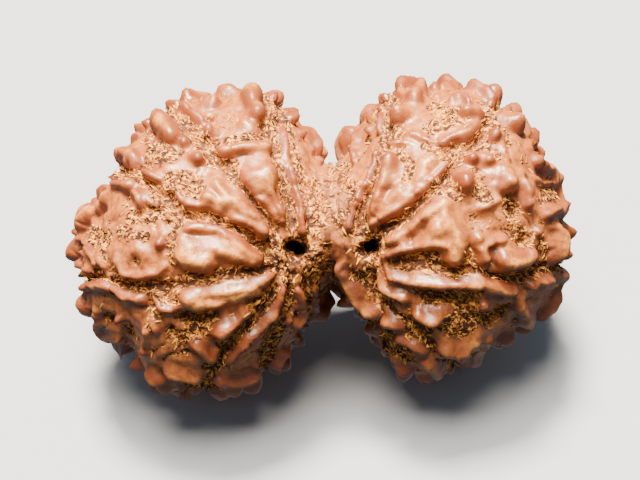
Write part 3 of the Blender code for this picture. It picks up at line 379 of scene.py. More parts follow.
rightRays = [
    (0.8, (0.40, 0.32), [(2.8, 6.1), (2.5, 5.1), (2.1, 4.1), (1.7, 3.1), (1.2, 2.1), (1.0, 0.9)]),
    (0.92, (0.70, 0.60), [(3.7, 5.3), (3.5, 4.1), (3.0, 2.8), (2.6, 1.8)]),
    (0.88, (0.38, 0.55), [(7.7, 5.3), (6.5, 4.1), (5.5, 3.3), (4.5, 2.5), (3.5, 1.7), (2.6, 1.2)]),
    (0.62, (0.90, 0.60), [(6.5, 5.6), (5.6, 4.2)]),
    (0.66, (0.80, 0.60), [(4.4, 3.4), (3.2, 2.0)]),
    (0.85, (0.60, 0.40), [(7.3, 2.4), (6.5, 1.9), (5.5, 1.1), (4.5, 0.5), (3.7, -0.1)]),
    (0.85, (0.55, 0.42), [(7.7, -0.1), (6.5, 0.0), (5.5, -0.3), (4.5, -0.7), (3.5, -1.1)]),
    (0.90, (0.60, 0.75), [(7.5, 1.8), (8.5, 0.5), (8.0, -0.9)]),
    (0.62, 1.30, [(7.2, 0.9)]),
    (0.60, (0.90, 0.50), [(6.8, 0.9), (5.0, 0.1)]),
    (0.80, 0.34, [(3.2, -0.9), (3.4, -1.7), (3.9, -2.3)]),
    (0.92, (0.45, 0.55), [(3.9, -2.4), (5.2, -2.8), (6.5, -3.0), (7.9, -2.9), (9.8, -2.9)]),
    (1.00, (0.52, 0.75), [(0.5, -1.7), (0.9, -2.7), (1.5, -3.6), (2.3, -4.5), (3.2, -5.1), (4.2, -5.5)]),
    (0.90, (0.36, 0.50), [(2.9, -2.2), (3.3, -3.2), (4.2, -3.7), (4.9, -4.1)]),
    (0.95, (0.60, 0.80), [(5.9, -4.9), (6.7, -5.3)]),
]
seenRidges = leftCrest + leftFlank + leftRays + rightCrest + rightFlank + rightRays

# The lines that divide each stone into segments, from the hole outwards
leftFurrows = [
    [(-2.2, 1.2), (-2.4, 2.2), (-2.8, 3.4), (-3.3, 4.8), (-4.0, 7.1), (-4.3, 8.3), (-4.4, 9.5)],
    [(-1.1, 0.6), (-1.1, 1.8), (-1.3, 3.2), (-1.7, 4.8), (-2.3, 6.3), (-2.9, 7.9)],
    [(-3.8, 1.0), (-4.7, 2.2), (-5.4, 3.1), (-6.3, 4.1), (-7.0, 5.0), (-9.0, 7.1), (-10.9, 8.5)],
    [(-4.0, -0.5), (-5.0, 0.1), (-6.5, 0.9), (-8.1, 1.6), (-10.2, 2.2), (-11.9, 3.1), (-14.3, 4.8)],
    [(-3.8, -1.9), (-5.8, -2.1), (-8.1, -2.7), (-10.2, -3.0), (-12.7, -3.2), (-15.7, -2.5)],
    [(-3.5, -3.2), (-4.3, -4.7), (-5.8, -6.2), (-7.1, -7.5), (-8.1, -9.6)],
    [(-2.7, -3.2), (-3.1, -4.7), (-3.3, -6.2), (-4.1, -7.5)],
    [(-1.4, -3.2), (-1.4, -4.4), (-1.7, -6.2)],
]
rightFurrows = [
    [(1.6, 0.9), (1.6, 2.1), (2.2, 3.2), (2.7, 4.2), (3.2, 6.0), (3.4, 7.4), (3.6, 9.2)],
    [(3.0, 0.8), (4.0, 1.2), (5.0, 1.9), (6.0, 2.8), (7.3, 4.2), (8.3, 5.7), (10.3, 7.7), (11.3, 9.1)],
    [(3.7, -1.3), (5.5, -1.7), (7.5, -1.9), (9.4, -2.1), (12.3, -2.5), (13.5, -2.2), (15.2, -1.7)],
    [(2.6, -2.1), (2.9, -3.2), (3.5, -4.2), (5.5, -5.9), (6.5, -6.9), (8.0, -7.8)],
    [(1.3, -2.5), (2.3, -3.2), (2.8, -3.7)],
]

# Pits: (depth, half-width, points)
pits = [
    (0.5, 0.35, [(-8.1, 8.5)]),
    (0.5, 0.45, [(-13.1, -1.3)]),
    (0.4, 0.60, [(-8.9, 0.4), (-8.0, 0.3)]),
    (0.6, 0.50, [(-16.0, 0.4)]),
    (0.7, 0.45, [(-14.9, -5.5)]),
    (0.6, 0.35, [(-13.8, -6.2)]),
    (0.4, 0.25, [(5.8, 10.0)]),
    (0.6, 0.35, [(8.4, 9.1)]),
    (0.5, 0.30, [(9.7, 9.8)]),
    (0.6, 0.40, [(12.2, 6.7)]),
    (0.6, 0.40, [(12.2, 2.1)]),
    (0.4, 0.45, [(6.3, 1.0), (5.1, 0.4)]),
    (0.4, 0.25, [(6.1, -1.1)]),
    (0.5, 0.40, [(12.9, 0.1)]),
    (0.6, 0.35, [(14.4, -1.8)]),
    (0.6, 0.50, [(11.5, -4.9)]),
    (0.5, 0.28, [(2.2, -2.5), (2.7, -3.9)]),
    (0.8, 0.30, [(0.0, -0.5)]),
    (0.7, 0.30, [(-0.1, -2.1)]),
    (0.7, 0.55, [(6.2, -3.8), (9.2, -4.1)]),
    (0.6, 0.50, [(9.4, -5.3), (10.7, -5.4)]),
    (0.4, 0.55, [(7.0, 9.0), (7.6, 8.4)]),
    (0.7, 0.50, [(-10.0, -5.3), (-8.0, -5.0)]),
    (0.5, 0.40, [(-11.0, -6.3), (-10.2, -7.0)]),
    (0.4, 0.40, [(-4.9, -3.9), (-6.4, -5.0)]),
]

# Where dried pulp is left, besides the furrows: (share, half-width, points)
pulpAreas = [
    (1.0, 0.80, [(-10.6, 4.3), (-8.7, 3.6)]),
    (1.0, 0.45, [(-13.5, 1.8), (-11.6, 2.0), (-10.3, 1.2)]),
    (1.0, 0.60, [(-16.2, 0.7), (-15.2, 0.3)]),
    (0.9, 0.40, [(-14.2, 0.6), (-12.6, 0.5)]),
    (0.45, 0.50, [(-13.1, -1.3)]),
    (1.0, 0.45, [(-10.6, 0.2), (-10.6, -1.2)]),
    (1.0, 0.60, [(-11.9, -3.2), (-10.6, -3.8)]),
    (0.7, 0.50, [(-15.4, -0.9)]),
    (0.9, 0.55, [(-12.3, 6.2), (-11.2, 5.9)]),
    (1.0, 0.40, [(-14.2, 4.9), (-13.0, 4.2)]),
    (1.0, 0.50, [(-9.3, 7.6), (-8.2, 6.4), (-7.9, 5.4)]),
    (1.0, 0.40, [(-8.2, 8.4)]),
    (0.8, 0.35, [(-5.2, 7.1), (-6.8, 6.9)]),
    (1.0, 0.60, [(-8.6, -5.8), (-9.4, -6.4)]),
    (0.9, 0.35, [(-4.5, -3.4), (-6.3, -5.2)]),
    (1.0, 0.45, [(-2.9, -2.2), (-2.7, -4.3)]),
    (1.0, 0.95, [(-3.3, -0.9)]),
    (0.9, 0.35, [(-12.0, -4.9), (-12.2, -6.0)]),
    (1.0, 0.32, [(7.2, 9.3)]),
    (1.0, 0.30, [(8.5, 9.2)]),
    (1.0, 0.40, [(4.2, 5.9), (5.2, 5.3), (4.8, 4.2)]),
    (1.0, 0.60, [(6.9, 9.2), (7.8, 8.3), (6.6, 7.9)]),
    (0.9, 0.40, [(6.4, 6.6), (7.6, 5.9)]),
    (1.0, 0.50, [(9.6, 4.6), (9.9, 3.4), (10.4, 3.0)]),
    (1.0, 0.60, [(12.1, 2.1)]),
    (0.9, 0.45, [(14.3, 3.1), (15.0, 3.3)]),
    (1.0, 0.55, [(12.2, 0.8), (13.3, 0.0)]),
    (1.0, 0.65, [(7.2, 3.8), (8.1, 3.2)]),
    (0.9, 0.35, [(9.0, -0.6), (9.1, -1.4)]),
    (1.0, 0.60, [(1.6, -0.3)]),
    (1.0, 0.40, [(3.4, -0.4)]),
    (1.0, 0.45, [(9.9, -3.4), (9.3, -4.6)]),
    (1.0, 0.60, [(7.5, -5.6), (9.2, -6.0)]),
    (1.0, 0.45, [(2.2, -2.7), (2.7, -3.9)]),
    (0.9, 0.50, [(0.5, 4.3), (1.3, 4.0)]),
]

# Small knobs that are rubbed a darker red: (share, half-width, points)
ruddyKnobs = [
    (1.0, 0.75, [(-9.1, 5.4)]),
    (1.0, 0.55, [(-11.5, -0.2)]),
    (0.8, 0.50, [(-17.3, 0.6)]),
    (0.8, 0.60, [(-11.1, 1.5)]),
    (1.0, 0.80, [(8.9, 4.1)]),
    (0.8, 0.55, [(9.6, 5.4)]),
    (1.0, 0.55, [(13.9, 0.5)]),
    (0.7, 0.60, [(11.0, 7.0)]),
    (0.7, 0.50, [(3.0, 9.7)]),
    (0.7, 0.60, [(-3.6, 9.0)]),
    (0.6, 0.50, [(-9.2, 2.4), (-6.5, 1.3), (-4.5, 0.5)]),
    (0.5, 0.40, [(-8.0, 1.2), (-6.2, 0.3)]),
]


def asSeen(points):
    # where the eye sees each point, on the plane of the seam
    eye = np.array(reliefForm["eye"])
    nearer = reliefForm["eyeDistance"] / (reliefForm["eyeDistance"] - points[..., 2:])
    return eye + (points[..., :2] - eye) * nearer


def sightGrid():
    # places all over the front, and where each is seen
    size = reliefForm["sightGrid"]
    share, angle = np.meshgrid(
        np.linspace(0.002, 0.998, size), np.linspace(0.0, 2 * math.pi, size, endpoint=False)
    )
    points, normals = skinAt(share, angle), skinNormals(share, angle)
    facing = normals[..., 2] > 0
    return points[facing], asSeen(points[facing] + reliefForm["lift"] * normals[facing])


sightPoints, sightPlaces = sightGrid()


def onFront(path):
    # the skin under each place that is seen from the front
    nearest = [np.argmin(((sightPlaces - np.array(place)) ** 2).sum(axis=1)) for place in path]
    return sightPoints[nearest]


def alongPath(points, path):
    # distance from each point to a chain of straight stretches, and how far along it that is
    if len(path) == 1:
        return np.linalg.norm(points - path[0], axis=1), np.zeros(len(points))
    nearest = np.full(len(points), np.inf)
    along = np.zeros(len(points))
    for stretch, (start, end) in enumerate(zip(path[:-1], path[1:])):
        run = end - start
        share = np.clip((points - start) @ run / max(run @ run, 1e-9), 0.0, 1.0)
        gap = np.linalg.norm(points - start - share[:, None] * run, axis=1)
        along = np.where(gap < nearest, (stretch + share) / (len(path) - 1), along)
        nearest = np.minimum(nearest, gap)
    return nearest, along


def distanceToPath(points, path):
    return alongPath(points, path)[0]


def widthAlong(width, along):
    # a pair of half-widths belongs to a path's first and last point
    first, last = width if isinstance(width, tuple) else (width, width)
    return first + (last - first) * along


def nearPath(points, path, reach):
    # which points lie in the path's box, widened by reach
    low, high = path.min(axis=0) - reach, path.max(axis=0) + reach
    return np.flatnonzero(((points > low) & (points < high)).all(axis=1))


def fullHeight(width, share):
    # share * (rise + risePerWidth * width)
    return share * (reliefForm["rise"] + reliefForm["risePerWidth"] * width)


def knobHeight(gap, width, share):
    # full height * (1 - (gap / width)^crown)^side
    within = np.maximum(1.0 - (gap / width) ** reliefForm["crown"], 0.0)
    return fullHeight(width, share) * within ** reliefForm["side"]


def skirtHeight(gap, width, share):
    # skirt * full height * (1 - (gap / skirt's half-width)^2)^2
    within = np.maximum(1.0 - (gap / (width * reliefForm["skirtWider"])) ** 2, 0.0)
    return reliefForm["skirt"] * fullHeight(width, share) * within**2


def turnRound(place, hole):
    # the place's angle about the hole, as seen from in front
    return math.atan2(place[1] - hole[1], place[0] - hole[0])


def furrowDepth(points, furrows, width):
    # exp(-(gap / width)^2) beside each furrow; past its last point a furrow goes on round
    # the back at the same angle about its hole
    depth = np.zeros(len(points))
    for hole, path in furrows:
        near = nearPath(points, path, reliefForm["furrowReach"] * width)
        gap = distanceToPath(points[near], path)
        depth[near] = np.maximum(depth[near], np.exp(-((gap / width) ** 2)))
        angle = turnRound(path[-1], hole)
        offset = points[:, :2] - np.array(hole)
        offLine = offset @ np.array([-math.sin(angle), math.cos(angle)])
        ahead = offset @ np.array([math.cos(angle), math.sin(angle)]) > reliefForm["furrowAhead"]
        behind = ahead & (points[:, 2] < path[-1][2])
        depth = np.maximum(depth, np.exp(-((offLine / width) ** 2)) * behind)
    return depth


def backSkin(u, v):
    # the place on the back at (u, v)
    top, bottom, depth = (float(size) for size in halfSizes(u))
    middle, half = (top - bottom) / 2, (top + bottom) / 2
    return (u, v, -depth * math.sqrt(max(1 - ((v - middle) / half) ** 2, 0.0)))


def backRidges(furrows):
    # one ridge between each two furrows round each back hole, except over a wide gap
    reaches = np.linspace(reliefForm["ridgeStart"], reliefForm["ridgeEnd"], 4)
    ridges = []
    for hole in pairForm["holes"]:
        angles = sorted(turnRound(path[-1], hole) for h, path in furrows if h == hole)
        for start, end in zip(angles, angles[1:] + [angles[0] + 2 * math.pi]):
            if end - start > math.pi * reliefForm["wideGap"]:
                continue
            turn = (start + end) / 2
            width = float(np.clip((end - start) * reliefForm["ridgeFill"], *reliefForm["ridgeWidths"]))
            spots = [
                backSkin(hole[0] + reach * math.cos(turn), hole[1] + reach * math.sin(turn))
                for reach in reaches
            ]
            ridges.append((reliefForm["ridgeSize"], width, np.array(spots)))
    return ridges


def pathSpots(path):
    # points about spotGap apart along a path, to keep knobs clear of it
    if len(path) == 1:
        return path
    spots = [path[:1]]
    for start, end in zip(path[:-1], path[1:]):
        count = max(int(np.linalg.norm(end - start) / reliefForm["spotGap"]), 1)
        spots.append(start + np.linspace(0, 1, count + 1)[1:, None] * (end - start))
    return np.concatenate(spots)


def thrownKnobs(ridges, furrows, kind):
    # knobs at random places, each kept where it clears what is there already
    rng = np.random.default_rng(reliefForm["seed"])
    throws = reliefForm["throws"]
    spots = [pathSpots(path) for _, _, path in ridges]
    widest = [np.max(width) for _, width, _ in ridges]
    widths = np.repeat(widest, [len(path) for path in spots])
    spots = np.concatenate(spots)
    shares = rng.uniform(0.02, 0.98, throws)
    angles = rng.uniform(0, 2 * math.pi, throws)
    places, normals = skinAt(shares, angles), skinNormals(shares, angles)
    barred = normals[:, 2] > kind["below"]
    barred |= np.abs(places[:, 0]) < reliefForm["neckRoom"]
    barred |= furrowDepth(places, furrows, reliefForm["furrowWidth"]) > reliefForm["furrowRoom"]
    for hole in pairForm["holes"]:
        barred |= np.linalg.norm(places[:, :2] - np.array(hole), axis=1) < reliefForm["holeRoom"]
    kept = []
    for i in np.flatnonzero(~barred):
        width = rng.uniform(*kind["widths"])
        length = rng.uniform(*kind["lengths"])
        lean = rng.uniform(0, math.pi)
        size = rng.uniform(*kind["sizes"])
        radius = max(math.hypot(places[i, 1], places[i, 2]), 1.0)
        share = shares[i] + length * math.cos(lean) / skinLength
        angle = angles[i] + length * math.sin(lean) / radius
        end = skinAt(np.clip(share, 0.01, 0.99), angle)
        path = pathSpots(np.array([places[i], end]))
        gaps = np.linalg.norm(spots[:, None] - path[None], axis=2).min(axis=1)
        if (gaps < kind["room"] * (widths + width)).any():
            continue
        kept.append((size, width, np.array([places[i], end])))
        spots = np.concatenate([spots, path])
        widths = np.concatenate([widths, np.full(len(path), width)])
    return kept


def latticeNoise(points, cell, seed):
    # value noise: hashed numbers at the corners of a lattice, blended smoothly, -1 to 1;
    # each use has a seed of its own, so that no two share a pattern
    place = points / cell
    corner = np.floor(place).astype(np.int64)
    part = place - corner
    part = part * part * (3 - 2 * part)
    total = np.zeros(points.shape[:-1])
    for dx in (0, 1):
        for dy in (0, 1):
            for dz in (0, 1):
                x, y, z = corner[..., 0] + dx, corner[..., 1] + dy, corner[..., 2] + dz
                mixed = (x * 73856093) ^ (y * 19349663) ^ (z * 83492791) ^ (seed * 2654435761)
                mixed = (mixed ^ (mixed >> 13)) * 1274126177 & 0x7FFFFFFF
                value = (mixed ^ (mixed >> 16)) / 0x3FFFFFFF - 1
                weight = part[..., 0] if dx else 1 - part[..., 0]
                weight = weight * (part[..., 1] if dy else 1 - part[..., 1])
                total += value * weight * (part[..., 2] if dz else 1 - part[..., 2])
    return total


def layeredNoise(points, cell, seed, layers=3):
    # each layer is half as large and half as strong as the one before
    return sum(latticeNoise(points, cell / 2**i, seed + i) / 2**i for i in range(layers))


def warped(points, amount, cell, seed):
    # moves each point by three noises, so that no ridge keeps a ruler's edge
    shifts = [latticeNoise(points, cell, seed + i) for i in range(3)]
    return points + amount * np.stack(shifts, axis=-1)


def relief(points, ridges, furrows):
    # height over the skin, (knobs^merge + skirts^merge + ground^merge)^(1/merge), with lumps
    # added and creases, furrows, pits and mouths taken off; also the share of furrow and the
    # tint of the nearest knob
    power = reliefForm["merge"]
    total, skirts, tint = np.zeros((3, len(points)))
    rng = np.random.default_rng(reliefForm["seed"] + 1)
    tints = rng.uniform(-1, 1, len(ridges))
    lift = np.array([0.0, reliefForm["skirtLift"], 0.0])
    stretch = 1 + reliefForm["ragged"] * layeredNoise(points, reliefForm["raggedCell"], 71, 2)
    for (share, width, path), own in zip(ridges, tints):
        widest = np.max(width)
        near = nearPath(points, path, widest * reliefForm["knobReach"])
        gap, along = alongPath(points[near], path)
        raised = knobHeight(gap * stretch[near], widthAlong(width, along), share) ** power
        total[near] += raised
        tint[near] += own * raised
        path = path + lift * widest
        near = nearPath(points, path, widest * reliefForm["skirtWider"])
        gap, along = alongPath(points[near], path)
        skirts[near] += skirtHeight(gap, widthAlong(width, along), share) ** 2
    tint = tint / np.maximum(total, 1e-6)
    crests = 1 - 2 * np.abs(layeredNoise(points, reliefForm["swellCell"], 41, 2))
    swell = 1 + reliefForm["swell"] * (crests - reliefForm["swellMiddle"])
    valley = furrowDepth(points, furrows, reliefForm["groundReach"])
    ground = reliefForm["ground"] * (1 - valley)
    height = (total * swell + skirts ** (power / 2) + ground**power) ** (1.0 / power)
    lumps = layeredNoise(points, reliefForm["lumpCell"], 51, 3)
    lumps = lumps * np.exp(-((height / reliefForm["lumpTop"]) ** 2))
    height = height + reliefForm["lumps"] * lumps
    offLine = layeredNoise(points, reliefForm["creaseCell"], 81, 2) / reliefForm["creaseWidth"]
    crease = np.exp(-(offLine**2)) * np.exp(-((height / reliefForm["creaseTop"]) ** 4))
    height = height - reliefForm["crease"] * crease
    furrow = furrowDepth(points, furrows, reliefForm["furrowWidth"])
    height = height * (1 - reliefForm["furrowPart"] * furrow) - reliefForm["furrowDepth"] * furrow
    for depth, width, path in pits:
        path = onFront(path)
        near = nearPath(points, path, width * reliefForm["pitReach"])
        gap = distanceToPath(points[near], path) / width
        height[near] -= depth * np.exp(-(gap**2))
    for hole in pairForm["holes"]:
        gap = np.linalg.norm(points[:, :2] - np.array(hole), axis=1) / reliefForm["mouth"]
        height -= (reliefForm["mouthDepth"] + height) * np.exp(-(gap**4))
    return height, furrow, tint


def areaShare(points, areas):
    # share * exp(-(gap / width)^4) round each listed area
    share = np.zeros(len(points))
    for amount, width, path in areas:
        path = onFront(path)
        near = nearPath(points, path, width * nutSkin["areaReach"])
        gap = distanceToPath(points[near], path) / width
        share[near] = np.maximum(share[near], amount * np.exp(-(gap**4)))
    return share


def restTurn():
    # growth frame to standing frame: w points up at the tilt, towards -Y
    tilt = math.radians(pairForm["tilt"])
    sine, cosine = math.sin(tilt), math.cos(tilt)
    tilted = np.array([[1, 0, 0], [0, sine, -cosine], [0, cosine, sine]])
    return np.array(Matrix.Rotation(math.radians(pairForm["roll"]), 3, "Y")) @ tilted


def footKnobs(turn, floor):
    # four knobs under the stones, each just tall enough to reach the resting surface
    size = reliefForm["footGrid"]
    shares, angles = np.linspace(0.02, 0.98, size), np.linspace(0, 2 * math.pi, size)
    share, angle = np.meshgrid(shares, angles)
    points = skinAt(share, angle).reshape(-1, 3)
    normals = skinNormals(share, angle).reshape(-1, 3) @ turn.T
    under = normals[:, 2] < reliefForm["underside"]
    points, normals = points[under], normals[under]
    stood = points @ turn.T
    width = reliefForm["footWidth"]
    rise = fullHeight(width, 1)
    found = []
    for foot in reliefForm["feet"]:
        i = np.argmin(((stood[:, :2] - np.array(foot)) ** 2).sum(axis=1))
        need = (stood[i, 2] - floor) / -normals[i, 2]
        found.append((need / rise, width, points[i : i + 1]))
    return found


# What a user would change about the nut's surface
nutSkin = {
    "along": 310,  # rows and columns of the grid
    "round": 308,
    "frontCrowding": 0.28,  # share by which the front's columns stand closer
    "warp": 0.22,  # how far the knobs' edges stray
    "warpCell": 1.5,
    "warpFiner": 2.5,  # how many times smaller the second warp is
    "overhang": 0.012,  # how far a knob's side bulges, per unit of slope and height
    "steepest": 3.2,
    "pushLimit": 3,  # steepness beyond which a side bulges no further
    "relaxing": 5,  # times the grid evens out its steps
    "crumb": 0.055,  # roughness of the dried pulp in the hollows
    "crumbCell": 0.42,
    "dimple": 0.07,  # roughness of the polished knobs
    "dimpleCell": 0.65,
    "fibreLow": -0.02,  # height below which the skin is pulp
    "polishedHigh": 0.46,  # height above which it is polished
    "patchSpread": 0.36,  # how far patches of pulp shift those heights
    "patchCell": 1.7,
    "patchSeen": 0.3,  # share of that on the front, where the pulp's areas are listed
    "patchHidden": 0.7,  # and what the back has more
    "backBegins": (0.2, -0.2),  # over this range of how much the skin faces the front
    "furrowPulp": 0.3,  # what a furrow adds to them
    "pulpReach": 0.45,  # how far from a furrow pulp is left
    "areaPulp": 0.55,  # what a listed area adds
    "areaReach": 1.6,  # how many half-widths from its path an area is worked out
    "neckPulp": 0.12,
    "neckHalf": 1.5,
    "streak": 0.13,  # depth of the lines that run round the neck
    "streakCell": 1.8,
    "streakStretch": 5.0,
    "rubbing": 2.0,  # how strongly the listed knobs are rubbed red
    "steepSpread": 3,  # times each of these is smoothed
    "creviceSpread": 6,
    "hollowShadeSpread": 30,
}


def gridAngles(count):
    # angle + frontCrowding * cos(angle)
    turn = np.linspace(0, 2 * math.pi, count, endpoint=False)
    return turn + nutSkin["frontCrowding"] * np.cos(turn)


def gridNormals(points):
    # normals of a grid that closes round its columns
    along = np.gradient(points, axis=0)
    around = np.roll(points, -1, axis=1) - np.roll(points, 1, axis=1)
    return unit(np.cross(around, along))


def slopeOf(height, points):
    # the height's gradient as a vector on the skin, from differences along and around
    along = np.gradient(points, axis=0)
    around = (np.roll(points, -1, axis=1) - np.roll(points, 1, axis=1)) / 2
    alongRise = np.gradient(height, axis=0)
    aroundRise = (np.roll(height, -1, axis=1) - np.roll(height, 1, axis=1)) / 2
    a = (along * along).sum(-1)
    b = (along * around).sum(-1)
    c = (around * around).sum(-1)
    det = np.maximum(a * c - b * b, 1e-9)
    first = (c * alongRise - b * aroundRise) / det
    second = (a * aroundRise - b * alongRise) / det
    return first[..., None] * along + second[..., None] * around


def smoothed(field, times):
    # repeated mean of each cell and its four neighbours
    for _ in range(times):
        rows = np.concatenate([field[:1], field, field[-1:]])
        beside = np.roll(field, 1, axis=1) + np.roll(field, -1, axis=1)
        field = (field * 2 + rows[:-2] + rows[2:] + beside) / 6
    return field


def relaxed(points, times):
    # slides each point along the surface towards its neighbours' mean
    for _ in range(times):
        normals = gridNormals(points)
        pull = np.zeros_like(points)
        beside = (np.roll(points, 1, axis=1) + np.roll(points, -1, axis=1))[1:-1]
        pull[1:-1] = (points[:-2] + points[2:] + beside) / 4 - points[1:-1]
        points = points + 0.5 * (pull - (pull * normals).sum(-1, keepdims=True) * normals)
    return points


def smoothStep(low, high, value):
    # 3 * t^2 - 2 * t^3, where t is value's share of the way from low to high
    part = np.clip((value - low) / (high - low), 0, 1)
    return part * part * (3 - 2 * part)


def listedFurrows():
    left, right = pairForm["holes"]
    holes = [left] * len(leftFurrows) + [right] * len(rightFurrows)
    return list(zip(holes, (onFront(path) for path in leftFurrows + rightFurrows)))


def allRidges(furrows):
    # what the front shows, widened from crest to foot, and what is thrown on the rest
    wider = reliefForm["seenWider"]
    ridges = []
    for size, width, path in seenRidges:
        width = tuple(np.array(width) * wider) if isinstance(width, tuple) else width * wider
        ridges.append((size, width, onFront(path)))
    ridges += backRidges(furrows)
    ridges += thrownKnobs(ridges, furrows, reliefForm["large"])
    ridges += thrownKnobs(ridges, furrows, reliefForm["small"])
    return ridges


def leaned(points, normals, height, slope):
    # points raised by height, their sides pushed out by overhang * height * slope * steepness
    steepness = np.linalg.norm(slope, axis=-1, keepdims=True)
    slope = slope * np.minimum(1, nutSkin["steepest"] / np.maximum(steepness, 1e-6))
    grown = points + normals * height[..., None]
    bulge = nutSkin["overhang"] * np.maximum(height, 0)[..., None]
    return grown - bulge * slope * steepness.clip(0, nutSkin["pushLimit"])


def grownSurface():
    # the grid of the finished skin, what its materials read, and the turn that stands it up
    share = np.linspace(0.0, 1.0, nutSkin["along"] + 2)[1:-1]
    share, angle = np.meshgrid(share, gridAngles(nutSkin["round"]), indexing="ij")
    points, normals = skinAt(share, angle), skinNormals(share, angle)
    bent = warped(points, nutSkin["warp"], nutSkin["warpCell"], 11)
    finer = nutSkin["warpFiner"]
    bent = warped(bent, nutSkin["warp"] / finer, nutSkin["warpCell"] / finer, 15).reshape(-1, 3)

    furrows = listedFurrows()
    ridges = allRidges(furrows)
    turn = restTurn()
    rough = relief(points.reshape(-1, 3), ridges, furrows)[0].reshape(share.shape)
    floor = ((points + normals * rough[..., None]) @ turn.T)[..., 2].min()
    ridges += footKnobs(turn, floor)
    height, furrow, tint = (f.reshape(share.shape) for f in relief(bent, ridges, furrows))
    print(len(ridges), "knobs and ridges raised")

    patches = nutSkin["patchSpread"] * layeredNoise(points, nutSkin["patchCell"], 61)
    hidden = smoothStep(*nutSkin["backBegins"], normals[..., 2])
    valley = furrowDepth(bent, furrows, nutSkin["pulpReach"]).reshape(share.shape)
    pulp = areaShare(bent, pulpAreas).reshape(share.shape)
    tint = tint - nutSkin["rubbing"] * areaShare(bent, ruddyKnobs).reshape(share.shape)
    neck = np.exp(-((points[..., 0] / nutSkin["neckHalf"]) ** 4))
    bare = height - patches * (nutSkin["patchSeen"] + nutSkin["patchHidden"] * hidden)
    bare = bare - nutSkin["furrowPulp"] * valley - nutSkin["areaPulp"] * pulp
    bare = bare - nutSkin["neckPulp"] * neck
    raised = smoothStep(nutSkin["fibreLow"], nutSkin["polishedHigh"], bare)
    stretched = points * np.array([nutSkin["streakStretch"], 1.0, 1.0])
    streaks = layeredNoise(stretched, nutSkin["streakCell"], 91, 2)
    height = height + nutSkin["streak"] * streaks * neck
    crumb = layeredNoise(points, nutSkin["crumbCell"], 21)
    dimple = layeredNoise(points, nutSkin["dimpleCell"], 31)
    height = height + (1 - raised) * nutSkin["crumb"] * crumb + raised * nutSkin["dimple"] * dimple
    slope = slopeOf(height, points)
    grown = relaxed(leaned(points, normals, height, slope), nutSkin["relaxing"])
    looks = {
        "raised": raised,
        "height": height,
        # steepness, which the material paints as shade on the knobs' sides
        "steep": smoothed(np.linalg.norm(slope, axis=-1), nutSkin["steepSpread"]),
        "furrow": furrow,
        "tint": tint,
        "neck": neck,
        "streak": streaks,
        "crevice": smoothed(height, nutSkin["creviceSpread"]) - height,
        # painted shade: how far the skin lies below its wider surroundings, darkening the hollows under
        # the knobs
        "hollowShade": smoothed(height, nutSkin["hollowShadeSpread"]) - height,
    }
    return grown, looks, turn


def closedGrid(name, points, looks):
    # a mesh of the grid's cells with a point closing each end
    rows, columns = points.shape[:2]
    index = np.arange(rows * columns).reshape(rows, columns)
    nextColumn = np.roll(index, -1, axis=1)
    quads = np.stack([index[:-1], nextColumn[:-1], nextColumn[1:], index[1:]], axis=-1).reshape(-1, 4)
    first, last = rows * columns, rows * columns + 1
    startCap = np.stack([np.full(columns, first), nextColumn[0], index[0]], axis=-1)
    endCap = np.stack([np.full(columns, last), index[-1], nextColumn[-1]], axis=-1)
    vertices = np.concatenate([points.reshape(-1, 3), [points[0].mean(axis=0), points[-1].mean(axis=0)]])
    mesh = bpy.data.meshes.new(name)
    mesh.from_pydata(vertices * mm, [], quads.tolist() + startCap.tolist() + endCap.tolist())
    for key, field in looks.items():
        attribute = mesh.attributes.new(key, "FLOAT", "POINT")
        values = np.concatenate([field.ravel(), [field[0].mean(), field[-1].mean()]])
        attribute.data.foreach_set("value", values.astype(np.float32))
    mesh.shade_smooth()
    return mesh


# What a user would change about the two holes: each mouth runs from one place to another
holeForm = {
    "left": {"from": (-2.55, -0.20), "to": (-2.00, -0.60), "radius": 0.38},
    "right": {"from": (2.10, -0.50), "to": (2.60, -0.20), "radius": 0.44},
    "mouthTop": 0.93,  # where a mouth starts to narrow, as a share of the skin's depth
    "mouthReach": 1.3,
    "ragged": 0.30,
    "raggedCell": 0.7,
    "bore": 0.34,  # radius inside
    "bend": 1.0,  # how far the bore's middle strays from a straight line
    "bendReach": 0.5,  # half-width of that, as a share of the skin's depth
    "reach": 13.0,
    "rings": 76,
    "spokes": 40,
}


